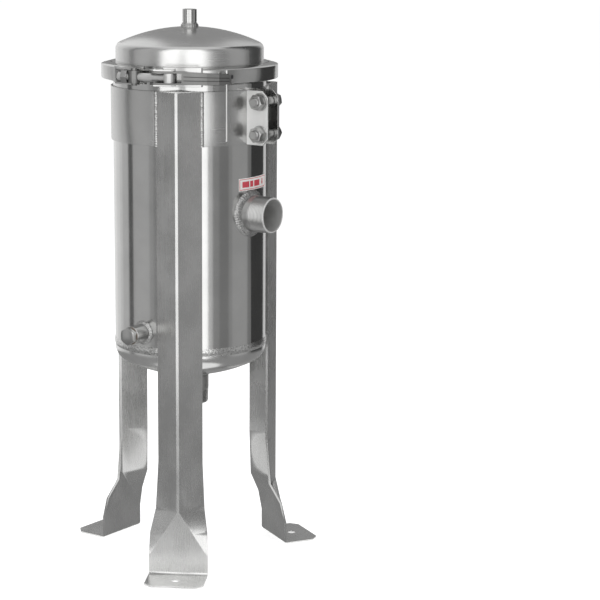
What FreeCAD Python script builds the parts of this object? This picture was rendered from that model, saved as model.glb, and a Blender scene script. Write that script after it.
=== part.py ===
import FreeCAD, Part
import math
import os
import re
import Sketcher
from FreeCAD import Placement, Rotation, Vector

# A free-standing stainless inlet filter: an upright cartridge vessel hung in a clamped collar on three
# folded sheet legs, with a domed lid held by a two-piece clamp ring and an over-centre lever.
# Millimetres. Z points up from the floor, the vessel's axis is the Z axis, and +X points out of the inlet.
# Angles in plan are measured from +X towards +Y.

SIZES = {
    # vessel shell and heads
    "shell_diameter": 203.2,
    "shell_wall": 3.0,
    "shell_bottom": 297.0,
    "neck_drop": 10.5,
    "head_knuckle_radius": 20.3,
    "head_skirt": 7.5,
    "seam_height": 10.5,
    "seam_bulge": 1.1,
    # pipe ports
    "port_diameter": 48.26,
    "port_wall": 3.0,
    "port_step": 0.5,
    "inlet_drop": 182.6,
    "inlet_length": 35.4,
    "inlet_neck": 4.4,
    "port_weld_radius": 31.0,
    "port_weld_depth": 3.5,
    "outlet_drop": 35.0,
    "outlet_length": 53.0,
    "outlet_neck": 5.5,
    # drain boss and plug
    "drain_rise": 24.0,
    "boss_diameter": 24.0,
    "boss_bore": 16.7,
    "boss_length": 24.9,
    "boss_weld_radius": 16.0,
    "boss_weld_depth": 2.5,
    "plug_flats": 21.0,
    "plug_head_length": 8.0,
    "plug_shank_length": 12.0,
    "plug_gap": 0.6,
    "plug_clearance": 0.08,
    # closure between the vessel and the lid
    "closure_height": 659.6,
    "closure_slope": 15.0,
    "flange_reach": 10.4,
    "flange_edge": 7.0,
    "hub_step": 2.4,
    "gasket_thickness": 3.0,
    "gasket_inset": 3.0,
    "lid_flange_rise": 12.2,
    # lid head and its vent
    "lid_inset": 3.6,
    "lid_wall": 2.5,
    "lid_rise": 28.6,
    "lid_knuckle_radius": 9.0,
    "lid_crown_gain": 26.0,
    "vent_diameter": 19.05,
    "vent_wall": 1.65,
    "vent_step": 0.4,
    "vent_neck": 6.5,
    "vent_rise": 79.9,
    "vent_weld_radius": 13.5,
    "vent_weld_height": 5.5,
    # clamp ring, in two halves about a rear pin
    "clamp_reach": 5.0,
    "clamp_sheet": 3.0,
    "clamp_lip_sheet": 2.8,
    "clamp_half_height": 9.1,
    "clamp_clearance": 0.35,
    "lip_gap": 0.6,
    "half_a_end_azimuth": -86.0,
    "half_b_end_azimuth": -75.5,
    "hinge_azimuth": 99.25,
    "hinge_offset": 7.5,
    "hinge_cutback": 20.0,
    "hinge_pin_diameter": 6.0,
    "hinge_pin_proud": 1.5,
    "hinge_head_diameter": 9.0,
    "hinge_knuckle_diameter": 12.0,
    "hinge_leaf_angle": 13.0,
    "knuckle_inset": 0.5,
    "leaf_sheet": 2.5,
    # latch: swing rod, cross bar, lever
    "latch_offset": 11.0,
    "pivot_offset": 10.3,
    "cross_bar_azimuth": -85.5,
    "pivot_azimuth": -72.3,
    "rod_pin_azimuth": -63.7,
    "handle_end_azimuth": -29.0,
    "rod_diameter": 10.0,
    "rod_tail": 22.0,
    "rod_nut_flats": 16.0,
    "rod_nut_height": 8.0,
    "rod_eye_diameter": 15.0,
    "rod_eye_height": 12.0,
    "rod_pin_diameter": 7.0,
    "cross_bar_diameter": 16.0,
    "cross_bar_stub": 8.0,
    "cross_bar_proud": 1.0,
    "arm_sheet": 2.0,
    "arm_reach": 14.0,
    "arm_start_azimuth": -99.0,
    "arm_end_azimuth": -82.3,
    "hook_exit_angle": 26.0,
    "plate_start_azimuth": -107.0,
    "plate_end_azimuth": -96.6,
    "plate_sheet": 2.5,
    "plate_window_start": -104.3,
    "plate_window_end": -100.5,
    "plate_window_height": 8.5,
    "lever_sheet": 2.0,
    "lever_inner_gap": 12.6,
    "lever_reach": 17.5,
    "lever_gap": 7.0,
    "lever_eye_radius": 6.5,
    "lever_web_azimuth": -56.5,
    "lever_cheek_azimuth": -53.5,
    "lever_tail_top": 4.0,
    "lever_tail_bottom": 8.1,
    "bracket_sheet": 2.2,
    "bracket_start_azimuth": -69.0,
    "bracket_cheek_azimuth": -61.0,
    "bracket_end_azimuth": -44.0,
    "bracket_half_height": 12.2,
    "pivot_diameter": 6.0,
    "pivot_proud": 0.6,
    # locking pin of the handle
    "lock_azimuth": -30.8,
    "lock_offset": 12.6,
    "lock_pin_diameter": 2.6,
    "lock_pin_drop": 80.6,
    "lock_head_size": 5.0,
    "lock_tip_diameter": 3.8,
    "lock_lug_drop": 2.0,
    "lock_lug_sheet": 2.5,
    "lock_lug_sweep": 4.0,
    # stand collar and its bolts
    "collar_sheet": 3.0,
    "collar_drop": 19.6,
    "collar_width": 71.0,
    "collar_clearance": 0.05,
    "ear_gap": 20.0,
    "ear_length": 35.4,
    "ear_chamfer": 8.5,
    "bolt_diameter": 12.0,
    "bolt_hole": 13.0,
    "bolt_flats": 18.0,
    "bolt_head_height": 7.5,
    "bolt_nut_height": 10.0,
    "bolt_stud": 4.0,
    "bolt_offset": 23.4,
    "bolt_margin": 14.5,
    "washer_diameter": 23.0,
    "washer_thickness": 2.0,
    # folded legs
    "leg_sheet": 3.0,
    "leg_flange": 39.25,
    "leg_half_angle": 48.0,
    "leg_ridge_offset": 24.9,
    "leg_ridge_half": 1.8,
    "leg_flare_height": 150.0,
    "leg_flare_angle": 55.6,
    "leg_apex_height": 87.0,
    "leg_press_crease": 19.6,
    "leg_press_angle": 71.1,
    "leg_flat_height": 30.0,
    "leg_flat_crease": 37.7,
    "leg_flat_angle": 89.0,
    "foot_bend_radius": 3.0,
    "foot_length": 50.5,
    "foot_chamfer": 9.5,
    "foot_hole": 12.0,
    "foot_hole_offset": 25.9,
    "leg_weld_diameter": 5.0,
    # label tape above the inlet
    "label_start_azimuth": -13.5,
    "label_end_azimuth": 23.4,
    "label_rise": 31.0,
    "label_height": 16.5,
    "label_thickness": 0.3,
    # cartridges and what holds them
    "seat_rise": 6.0,
    "seat_plate_thickness": 3.0,
    "plate_gap": 0.3,
    "cartridge_count": 5.0,
    "cartridge_spread": 0.6085,
    "cartridge_spacing": 7.0,
    "cartridge_bore": 30.0,
    "cartridge_length": 250.0,
    "core_wall": 1.5,
    "core_gap": 0.02,
    "end_gasket_thickness": 2.0,
    "end_gasket_inset": 6.0,
    "seat_height": 3.0,
    "seat_bore": 20.0,
    "seat_rim": 9.0,
    "hold_plate_thickness": 3.0,
    "hold_plate_gap": 5.6,
    "hold_plate_hole": 10.0,
    "tie_rod_diameter": 10.0,
    "tie_rod_above": 32.0,
    "tie_nut_flats": 17.0,
    "tie_nut_height": 10.0,
    "tie_washer_diameter": 24.0,
    "tie_clearance": 0.5,
    # clearances
    "fit_gap": 0.2,
    "bore_gap": 0.05,
    "drill_length": 120.0,
}

# Sizes that follow others, so that what belongs together keeps together.
FOLLOWING = {
    "shell_radius": "shell_diameter / 2",
    "shell_inside": "shell_radius - shell_wall",
    "shell_top": "closure_height - neck_drop",
    "head_crown_radius": "shell_diameter",
    "head_tangent_height": "shell_bottom - head_skirt",
    "port_radius": "port_diameter / 2",
    "port_neck_radius": "port_radius - port_step",
    "inlet_height": "closure_height - inlet_drop",
    "inlet_reach": "shell_radius + inlet_length",
    "outlet_top": "shell_bottom - outlet_drop",
    "outlet_bottom": "outlet_top - outlet_length",
    "drain_height": "shell_bottom + drain_rise",
    "boss_reach": "shell_radius + boss_length",
    "flange_radius": "shell_radius + flange_reach",
    "hub_radius": "shell_radius + hub_step",
    "gasket_radius": "flange_radius - gasket_inset",
    "lid_flange_top": "closure_height + lid_flange_rise",
    "lid_diameter": "shell_diameter - 2 * lid_inset",
    "lid_crown_radius": "lid_diameter + lid_crown_gain",
    "lid_tangent_height": "closure_height + lid_rise",
    "vent_top": "closure_height + vent_rise",
    "vent_neck_radius": "vent_diameter / 2 - vent_step",
    "clamp_radius": "flange_radius + clamp_reach",
    "hinge_radius": "clamp_radius + hinge_offset",
    "latch_circle": "clamp_radius + latch_offset",
    "pivot_circle": "clamp_radius + pivot_offset",
    "arm_outer_radius": "clamp_radius + arm_reach",
    "lever_outer_radius": "clamp_radius + lever_reach",
    "lever_inner_radius": "clamp_radius + lever_gap",
    "lock_circle": "clamp_radius + lock_offset",
    "lock_pin_bottom": "closure_height - lock_pin_drop",
    "collar_top": "closure_height - collar_drop",
    "collar_bottom": "collar_top - collar_width",
    "ear_reach": "shell_radius + ear_length",
    "bolt_reach": "shell_radius + bolt_offset",
    "bolt_upper": "collar_top - bolt_margin",
    "bolt_lower": "collar_bottom + bolt_margin",
    "leg_ridge_radius": "shell_radius + leg_ridge_offset",
    "foot_reach": "leg_ridge_radius + foot_length",
    "foot_hole_radius": "leg_ridge_radius + foot_hole_offset",
    "label_bottom": "inlet_height + label_rise",
    "seat_plate_height": "shell_bottom + seat_rise",
    "cartridge_circle": "shell_inside * cartridge_spread",
    "cartridge_diameter": "2 * cartridge_circle * sin(180 / cartridge_count) - cartridge_spacing",
    "hold_plate_radius": "shell_inside - hold_plate_gap",
}

doc = FreeCAD.newDocument("InletFilter")
sheet = doc.addObject("Spreadsheet::Sheet", "Sizes")
for row, (alias, amount) in enumerate(SIZES.items(), start=1):
    sheet.set(f"A{row}", alias)
    sheet.set(f"B{row}", str(amount))
    sheet.setAlias(f"B{row}", alias)
doc.recompute()

sub_parts = []


def link(expression):
    """Write out the sizes that follow others, and give every size its place in the sheet."""
    size_name = re.compile(r"\b[a-z]+(?:_[a-z]+)+\b")

    def written_out(found):
        name = found.group(0)
        return f"({FOLLOWING[name]})" if name in FOLLOWING else name

    while any(name in FOLLOWING for name in size_name.findall(expression)):
        expression = size_name.sub(written_out, expression)
    return size_name.sub(lambda found: f"Sizes.{found.group(0)}", expression)


def value(expression):
    """The number that an expression has now."""
    return float(sheet.evalExpression(link(expression)))


def bind(item, **expressions):
    """Tie plain properties of an object to expressions."""
    for name, expression in expressions.items():
        item.setExpression(name, link(expression))
    return item


def put(item, x="0", y="0", z="0", axis=Vector(0, 0, 1), angle=0.0):
    """Turn an object about an axis and tie its place to expressions."""
    item.Placement = Placement(Vector(value(x), value(y), value(z)), Rotation(axis, angle))
    for letter, expression in (("x", x), ("y", y), ("z", z)):
        if expression != "0":
            item.setExpression(f"Placement.Base.{letter}", link(expression))
    return item


def keep(item, label):
    """Name a finished sub-part and remember it for the export."""
    item.Label = label
    sub_parts.append(item)
    return item


def body_of(label):
    """A new body for one sub-part."""
    return keep(doc.addObject("PartDesign::Body", f"{label}_body"), label)


def origin_plane(body, role):
    """One of the body's own three origin planes."""
    return next(item for item in body.Origin.OriginFeatures if item.Role == role)


def outline(body, name, role, corners, arcs=None, lift="0", turn=0.0):
    """Draw a closed outline on an origin plane of the body.

    Each corner is a pair of expressions. arcs maps a corner's number to the arc that leaves it:
    radius, centre across, centre up, and whether it turns left. All other edges are straight.
    """
    arcs = arcs or {}
    sketch = body.newObject("Sketcher::SketchObject", name)
    sketch.AttachmentSupport = [(origin_plane(body, role), "")]
    sketch.MapMode = "FlatFace"
    sketch.AttachmentOffset = Placement(Vector(0, 0, value(lift)), Rotation(Vector(0, 1, 0), turn))
    if lift != "0":
        sketch.setExpression("AttachmentOffset.Base.z", link(lift))
    places = [Vector(value(across), value(up), 0) for across, up in corners]
    count = len(places)
    for index, start in enumerate(places):
        end = places[(index + 1) % count]
        if index not in arcs:
            sketch.addGeometry(Part.LineSegment(start, end))
            continue
        radius, across, up, left = arcs[index]
        centre = Vector(value(across), value(up), 0)
        first, last = (start, end) if left else (end, start)
        angles = [math.atan2(point.y - centre.y, point.x - centre.x) for point in (first, last)]
        circle = Part.Circle(centre, Vector(0, 0, 1), value(radius))
        sketch.addGeometry(Part.ArcOfCircle(circle, angles[0], angles[1]))
    rules = []
    expressions = []
    for index, (across, up) in enumerate(corners):
        following = (index + 1) % count
        reversed_here = index in arcs and not arcs[index][3]
        reversed_next = following in arcs and not arcs[following][3]
        start_point = 2 if reversed_here else 1
        end_point = 1 if reversed_here else 2
        next_start = 2 if reversed_next else 1
        rules.append(Sketcher.Constraint("Coincident", index, end_point, following, next_start))
        expressions.append(None)
        rules.append(Sketcher.Constraint("DistanceX", -1, 1, index, start_point, places[index].x))
        expressions.append(across)
        rules.append(Sketcher.Constraint("DistanceY", -1, 1, index, start_point, places[index].y))
        expressions.append(up)
        if index in arcs:
            rules.append(Sketcher.Constraint("Radius", index, value(arcs[index][0])))
            expressions.append(arcs[index][0])
    sketch.addConstraint(rules)
    for number, expression in enumerate(expressions):
        if expression is not None:
            sketch.setExpression(f"Constraints[{number}]", link(expression))
    return sketch


def circles(body, name, role, rings, lift="0"):
    """Draw full circles, each given by its radius and centre as expressions."""
    sketch = body.newObject("Sketcher::SketchObject", name)
    sketch.AttachmentSupport = [(origin_plane(body, role), "")]
    sketch.MapMode = "FlatFace"
    sketch.AttachmentOffset = Placement(Vector(0, 0, value(lift)), Rotation())
    if lift != "0":
        sketch.setExpression("AttachmentOffset.Base.z", link(lift))
    for radius, across, up in rings:
        centre = Vector(value(across), value(up), 0)
        ring = sketch.addGeometry(Part.Circle(centre, Vector(0, 0, 1), value(radius)))
        for kind, expression in (("Radius", radius), ("DistanceX", across), ("DistanceY", up)):
            if kind == "Radius":
                rule = Sketcher.Constraint(kind, ring, value(expression))
            else:
                rule = Sketcher.Constraint(kind, -1, 1, ring, 3, value(expression))
            number = sketch.addConstraint(rule)
            sketch.setExpression(f"Constraints[{number}]", link(expression))
    return sketch


def revolve(body, sketch):
    """Turn an outline in the XZ plane about the body's Z axis."""
    turned = body.newObject("PartDesign::Revolution", f"{sketch.Name}_turned")
    turned.Profile = sketch
    turned.ReferenceAxis = (sketch, ["V_Axis"])
    turned.Angle = 360
    return turned


def pad(body, sketch, length, both_ways=False):
    """Raise an outline by a length, to one side or evenly to both."""
    raised = body.newObject("PartDesign::Pad", f"{sketch.Name}_raised")
    raised.Profile = sketch
    raised.Midplane = both_ways
    raised.setExpression("Length", link(length))
    return raised


def pocket(body, sketch, length, both_ways=False, reverse=False):
    """Cut an outline into the body."""
    cut_in = body.newObject("PartDesign::Pocket", f"{sketch.Name}_cut")
    cut_in.Profile = sketch
    cut_in.Midplane = both_ways
    cut_in.Reversed = reverse
    cut_in.setExpression("Length", link(length))
    return cut_in


def ring(label, inner, outer, low, high):
    """A plain ring about the body's Z axis."""
    body = body_of(label)
    corners = [(inner, low), (outer, low), (outer, high), (inner, high)]
    revolve(body, outline(body, f"{label}_section", "XZ_Plane", corners))
    return body


def rod(name, radius, length, x="0", y="0", z="0", axis=Vector(0, 0, 1), angle=0.0, sweep=None):
    """A round bar or, with a sweep, a wedge of one."""
    bar = doc.addObject("Part::Cylinder", name)
    bind(bar, Radius=radius, Height=length)
    if sweep is not None:
        bind(bar, Angle=sweep)
    return put(bar, x, y, z, axis, angle)


def block(name, length, width, height, x="0", y="0", z="0", axis=Vector(0, 0, 1), angle=0.0):
    """A rectangular bar."""
    bar = doc.addObject("Part::Box", name)
    bind(bar, Length=length, Width=width, Height=height)
    return put(bar, x, y, z, axis, angle)


def hexagon(name, flats, height, x="0", y="0", z="0", axis=Vector(0, 0, 1), angle=0.0):
    """A six-sided bar, given by its width across flats."""
    bar = doc.addObject("Part::Prism", name)
    bar.Polygon = 6
    bind(bar, Circumradius=f"({flats}) / sqrt(3)", Height=height)
    return put(bar, x, y, z, axis, angle)


def drill(name, diameter, x, y):
    """A long upright bar that bores a hole through the latch or the hinge."""
    return rod(name, f"({diameter}) / 2 + bore_gap", "drill_length", x, y,
               "closure_height - drill_length / 2")


def joined(name, pieces):
    """One solid out of several that touch."""
    union = doc.addObject("Part::MultiFuse", name)
    union.Shapes = pieces
    union.Refine = True
    return union


def less(name, base, tools):
    """A base with one or more tools taken away."""
    remainder = doc.addObject("Part::Cut", name)
    remainder.Base = base
    remainder.Tool = tools[0] if len(tools) == 1 else joined(f"{name}_tools", tools)
    remainder.Refine = True
    return remainder


def grouped(label, pieces):
    """Identical pieces that share one sub-part."""
    together = doc.addObject("Part::Compound", f"{label}_group")
    together.Links = pieces
    return keep(together, label)


def curved_plate(name, inner, outer, low, high, start, end):
    """A plate that follows the clamp ring between two plan angles."""
    wedge = rod(f"{name}_wedge", outer, f"({high}) - ({low})", z=low, angle=value(start),
                sweep=f"({end}) - ({start})")
    core = rod(f"{name}_core", inner, f"({high}) - ({low})", z=low)
    return less(name, wedge, [core])


def dished_section(body, name, outside, crown, knuckle, wall, tangent, skirt_end, upward):
    """Section of a dished head: straight skirt, knuckle arc and crown arc, inside and out."""
    sign = "" if upward else "-"
    run = f"sqrt(({crown} - {knuckle})^2 - ({outside} / 2 - {knuckle})^2)"
    crown_centre = f"({tangent}) {'-' if upward else '+'} {run}"
    knuckle_centre = f"{outside} / 2 - {knuckle}"
    share = f"({outside} / 2 - {knuckle}) / ({crown} - {knuckle})"
    rise = f"{run} / ({crown} - {knuckle})"

    def arc_joint(radius):
        up = f"({crown_centre}) {'+' if upward else '-'} ({radius}) * {rise}"
        return f"({radius}) * {share}", up

    inner_crown = f"{crown} - {wall}"
    inner_knuckle = f"{knuckle} - {wall}"
    apex = f"({crown_centre}) {'+' if upward else '-'} ({crown})"
    inner_apex = f"({crown_centre}) {'+' if upward else '-'} ({inner_crown})"
    corners = [
        (f"{outside} / 2", skirt_end),
        (f"{outside} / 2", tangent),
        arc_joint(crown),
        ("0", apex),
        ("0", inner_apex),
        arc_joint(inner_crown),
        (f"{outside} / 2 - {wall}", tangent),
        (f"{outside} / 2 - {wall}", skirt_end),
    ]
    arcs = {
        1: (knuckle, knuckle_centre, tangent, upward),
        2: (crown, "0", crown_centre, upward),
        4: (inner_crown, "0", crown_centre, not upward),
        5: (inner_knuckle, knuckle_centre, tangent, not upward),
    }
    return outline(body, name, "XZ_Plane", corners, arcs)


# Vessel: shell, lower head and the seam between them

shell_tube = less("shell_tube",
                  rod("shell_outer_face", "shell_radius", "shell_top - shell_bottom", z="shell_bottom"),
                  [rod("shell_inner_face", "shell_inside", "shell_top - shell_bottom", z="shell_bottom")])
inlet_opening = rod("inlet_opening", "port_neck_radius", "shell_diameter", z="inlet_height",
                    axis=Vector(0, 1, 0), angle=90)
drain_opening = rod("drain_opening", "boss_diameter / 2", "shell_diameter", z="drain_height",
                    axis=Vector(1, 0, 0), angle=90)
keep(less("shell", shell_tube, [inlet_opening, drain_opening]), "vessel_shell")

head = body_of("bottom_head")
revolve(head, dished_section(head, "head_section", "shell_diameter", "head_crown_radius",
                             "head_knuckle_radius", "shell_wall", "head_tangent_height",
                             "shell_bottom", upward=False))
outlet_cut = circles(head, "outlet_cut", "XY_Plane", [("port_neck_radius", "0", "0")], lift="outlet_bottom")
pocket(head, outlet_cut, "outlet_top - outlet_bottom + shell_wall", reverse=True)

seam = body_of("bottom_seam")
seam_low = "shell_bottom - seam_height / 2"
seam_high = "shell_bottom + seam_height / 2"
seam_chord = "seam_height / 2"
seam_radius = f"(({seam_chord})^2 + seam_bulge^2) / (2 * seam_bulge)"
revolve(seam, outline(seam, "seam_section", "XZ_Plane",
                      [("shell_radius", seam_low), ("shell_radius", seam_high)],
                      {0: (seam_radius, f"shell_radius + seam_bulge - {seam_radius}", "shell_bottom", True)}))

# Pipe ports, each made upright and laid along its own axis

inlet = body_of("inlet_nipple")
inlet_section = outline(inlet, "inlet_section", "XZ_Plane", [
    ("port_radius - port_wall", "shell_inside"),
    ("port_neck_radius", "shell_inside"),
    ("port_neck_radius", "shell_radius + inlet_neck"),
    ("port_radius", "shell_radius + inlet_neck"),
    ("port_radius", "inlet_reach - port_wall / 2"),
    ("port_radius - port_wall / 2", "inlet_reach"),
    ("port_radius - port_wall", "inlet_reach"),
])
revolve(inlet, inlet_section)
put(inlet, z="inlet_height", axis=Vector(0, 1, 0), angle=90)

# Heights where the dished bottom meets the outlet pipe and the outer rim of its bead
head_centre = "head_tangent_height + sqrt((head_crown_radius - head_knuckle_radius)^2 - " \
              "(shell_radius - head_knuckle_radius)^2)"
weld_foot = f"{head_centre} - sqrt(head_crown_radius^2 - port_weld_radius^2)"
pipe_foot = f"{head_centre} - sqrt(head_crown_radius^2 - port_neck_radius^2)"

outlet = body_of("outlet_nipple")
revolve(outlet, outline(outlet, "outlet_section", "XZ_Plane", [
    ("port_radius - port_wall", "outlet_top"),
    ("port_radius - port_wall", "outlet_bottom"),
    ("port_radius - port_wall / 2", "outlet_bottom"),
    ("port_radius", "outlet_bottom + port_wall / 2"),
    ("port_radius", f"{pipe_foot} - outlet_neck"),
    ("port_neck_radius", f"{pipe_foot} - outlet_neck"),
    ("port_neck_radius", "outlet_top"),
]))


def saddle_weld(label, pipe_radius, weld_radius, depth, height, axis):
    """The bead where a pipe stands on the round shell: a collar of even thickness over the shell."""
    blank = rod(f"{label}_blank", weld_radius, "shell_diameter", z=height, axis=axis, angle=90)
    skin = rod(f"{label}_skin", f"shell_diameter / 2 + {depth}", "shell_top")
    bead = doc.addObject("Part::Common", f"{label}_bead")
    bead.Base = blank
    bead.Tool = skin
    pipe = rod(f"{label}_pipe", pipe_radius, "shell_diameter", z=height, axis=axis, angle=90)
    shell = rod(f"{label}_shell", "shell_radius", "shell_top")
    return keep(less(f"{label}_cut", bead, [pipe, shell]), label)


saddle_weld("inlet_weld", "port_neck_radius", "port_weld_radius", "port_weld_depth", "inlet_height",
            Vector(0, 1, 0))
saddle_weld("drain_weld", "boss_diameter / 2", "boss_weld_radius", "boss_weld_depth", "drain_height",
            Vector(1, 0, 0))

outlet_weld = body_of("outlet_weld")
revolve(outlet_weld, outline(outlet_weld, "outlet_weld_section", "XZ_Plane", [
    ("port_neck_radius", f"{pipe_foot} - port_weld_depth"),
    ("port_weld_radius", weld_foot),
    ("port_neck_radius", pipe_foot),
], {1: ("head_crown_radius", "0", head_centre, False)}))

boss = body_of("drain_boss")
revolve(boss, outline(boss, "boss_section", "XZ_Plane", [
    ("boss_bore / 2", "shell_inside"),
    ("boss_diameter / 2", "shell_inside"),
    ("boss_diameter / 2", "boss_reach"),
    ("boss_bore / 2", "boss_reach"),
]))
put(boss, z="drain_height", axis=Vector(1, 0, 0), angle=90)

plug_face = "boss_reach + plug_gap"
plug_shank = rod("plug_shank", "boss_bore / 2 - plug_clearance", "plug_shank_length + plug_gap",
                 z="drain_height", y="-(boss_reach + plug_gap)", axis=Vector(1, 0, 0), angle=-90)
plug_head = hexagon("plug_head", "plug_flats", "plug_head_length", z="drain_height",
                    y=f"-({plug_face})", axis=Vector(1, 0, 0), angle=90)
keep(joined("plug", [plug_shank, plug_head]), "drain_plug")

# Closure: sloping flanges with the gasket between them

slope = "tan(closure_slope)"
half_gasket = "gasket_thickness / 2"


def closure_flange(label, bore, hub, hub_end, up):
    """A flange whose back slopes, so that the clamp ring draws it against the gasket."""
    side = "+" if up else "-"
    body = body_of(label)
    face = f"closure_height {side} {half_gasket}"
    edge = f"closure_height {side} flange_edge"
    root = f"closure_height {side} (flange_edge + (flange_radius - ({hub})) * {slope})"
    corners = [(bore, face), ("flange_radius", face), ("flange_radius", edge), (hub, root), (hub, hub_end),
               (bore, hub_end)]
    revolve(body, outline(body, f"{label}_section", "XZ_Plane", corners))
    return body


closure_flange("neck_flange", "shell_inside", "shell_radius", "shell_top", up=False)
closure_flange("lid_flange", "lid_diameter / 2 - lid_wall", "hub_radius", "lid_flange_top", up=True)
ring("lid_gasket", "shell_inside", "gasket_radius", f"closure_height - {half_gasket}",
     f"closure_height + {half_gasket}")

# Lid head with its vent tube

lid = body_of("lid_head")
revolve(lid, dished_section(lid, "lid_section", "lid_diameter", "lid_crown_radius", "lid_knuckle_radius",
                            "lid_wall", "lid_tangent_height", "lid_flange_top", upward=True))
vent_cut = circles(lid, "vent_cut", "XY_Plane", [("vent_neck_radius", "0", "0")], lift="vent_top")
pocket(lid, vent_cut, "vent_top - lid_tangent_height")

lid_centre = "lid_tangent_height - sqrt((lid_crown_radius - lid_knuckle_radius)^2 - " \
             "(lid_diameter / 2 - lid_knuckle_radius)^2)"
lid_at_vent = f"{lid_centre} + sqrt(lid_crown_radius^2 - vent_neck_radius^2)"
lid_at_weld = f"{lid_centre} + sqrt(lid_crown_radius^2 - vent_weld_radius^2)"
vent = body_of("vent_tube")
revolve(vent, outline(vent, "vent_section", "XZ_Plane", [
    ("vent_diameter / 2 - vent_wall", f"{lid_at_vent} - lid_wall"),
    ("vent_neck_radius", f"{lid_at_vent} - lid_wall"),
    ("vent_neck_radius", f"{lid_at_vent} + vent_neck"),
    ("vent_diameter / 2", f"{lid_at_vent} + vent_neck"),
    ("vent_diameter / 2", "vent_top"),
    ("vent_diameter / 2 - vent_wall", "vent_top"),
]))

vent_weld = body_of("vent_weld")
revolve(vent_weld, outline(vent_weld, "vent_weld_section", "XZ_Plane", [
    ("vent_neck_radius", lid_at_vent),
    ("vent_weld_radius", lid_at_weld),
    ("vent_neck_radius", f"{lid_at_vent} + vent_weld_height"),
], {0: ("lid_crown_radius", "0", lid_centre, False)}))

# Clamp ring halves: a trough of sheet with sloping lips, swept from the latch to the rear hinge

clamp_wall = "clamp_radius - clamp_sheet"
clamp_lip = "hub_radius + lip_gap"


def lip_height(radius, inside):
    """Height above the closure plane of the lip's inner or outer surface."""
    back = f"flange_edge + clamp_clearance + (flange_radius - ({radius})) * {slope}"
    return f"({back})" if inside else f"({back} + clamp_lip_sheet)"


def clamp_half(label, start, sweep):
    """Half of the clamp ring, from one plan angle over a sweep."""
    body = body_of(label)
    corners = [
        ("clamp_radius", f"closure_height - {lip_height('clamp_radius', False)}"),
        ("clamp_radius", f"closure_height + {lip_height('clamp_radius', False)}"),
        (clamp_lip, f"closure_height + {lip_height(clamp_lip, False)}"),
        (clamp_lip, f"closure_height + {lip_height(clamp_lip, True)}"),
        (clamp_wall, f"closure_height + {lip_height(clamp_wall, True)}"),
        (clamp_wall, f"closure_height - {lip_height(clamp_wall, True)}"),
        (clamp_lip, f"closure_height - {lip_height(clamp_lip, True)}"),
        (clamp_lip, f"closure_height - {lip_height(clamp_lip, False)}"),
    ]
    section = outline(body, f"{label}_section", "XZ_Plane", corners)
    turned = revolve(body, section)
    turned.setExpression("Angle", link(sweep))
    put(body, angle=value(start))
    return turned


clamp_half("clamp_half_b", "half_b_end_azimuth", "hinge_azimuth - hinge_cutback - half_b_end_azimuth")
clamp_half("clamp_half_a", "hinge_azimuth + hinge_cutback",
           "360 + half_a_end_azimuth - hinge_azimuth - hinge_cutback")

# Rear hinge of the ring: two outer knuckles on half A, one between them on half B, and the pin

knuckle_low = "closure_height - clamp_half_height + knuckle_inset"
knuckle_span = "(2 * (clamp_half_height - knuckle_inset))"
knuckle_third = f"({knuckle_span} / 3)"
hinge_x = "hinge_radius * cos(hinge_azimuth)"
hinge_y = "hinge_radius * sin(hinge_azimuth)"


def hinge_leaf(label, knuckle_spans, leaf_start, leaf_end):
    """Knuckles on the hinge pin with the leaf that carries them to the ring's outer face."""
    knuckles = []
    for number, (low, high) in enumerate(knuckle_spans):
        knuckles.append(rod(f"{label}_knuckle_{number}", "hinge_knuckle_diameter / 2", f"({high}) - ({low})",
                            hinge_x, hinge_y, low))
        knuckles.append(curved_plate(f"{label}_strap_{number}", "clamp_radius + fit_gap / 2",
                                     "clamp_radius + leaf_sheet", low, high, leaf_start, leaf_end))
    whole = joined(f"{label}_whole", knuckles)
    bore = drill(f"{label}_bore", "hinge_pin_diameter", hinge_x, hinge_y)
    return keep(less(f"{label}_bored", whole, [bore]), label)


upper_joint = f"{knuckle_low} + 2 * {knuckle_third}"
lower_joint = f"{knuckle_low} + {knuckle_third}"
far_leaf = "hinge_cutback + hinge_leaf_angle"
hinge_leaf("hinge_leaf_a", [
    (knuckle_low, f"{lower_joint} - fit_gap"),
    (f"{upper_joint} + fit_gap", f"{knuckle_low} + {knuckle_span}"),
], "hinge_azimuth", f"hinge_azimuth + {far_leaf}")
hinge_leaf("hinge_leaf_b", [(lower_joint, upper_joint)], f"hinge_azimuth - {far_leaf}", "hinge_azimuth")

hinge_bar = rod("hinge_bar", "hinge_pin_diameter / 2", f"{knuckle_span} + 2 * hinge_pin_proud", hinge_x,
                hinge_y, f"{knuckle_low} - hinge_pin_proud")
hinge_head = rod("hinge_head", "hinge_head_diameter / 2", "hinge_pin_proud", hinge_x, hinge_y,
                 f"{knuckle_low} + {knuckle_span} + fit_gap")
keep(joined("hinge_pin_whole", [hinge_bar, hinge_head]), "clamp_hinge_pin")

# Latch on half A: a windowed back plate and two arms with open hooks for the cross bar

arm_inner = "(cross_bar_diameter / 2 + fit_gap)"
arm_outer = f"({arm_inner} + arm_sheet)"
ring_face = "clamp_radius + fit_gap / 2"
bar_x = "latch_circle * cos(cross_bar_azimuth)"
bar_y = "latch_circle * sin(cross_bar_azimuth)"

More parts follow.
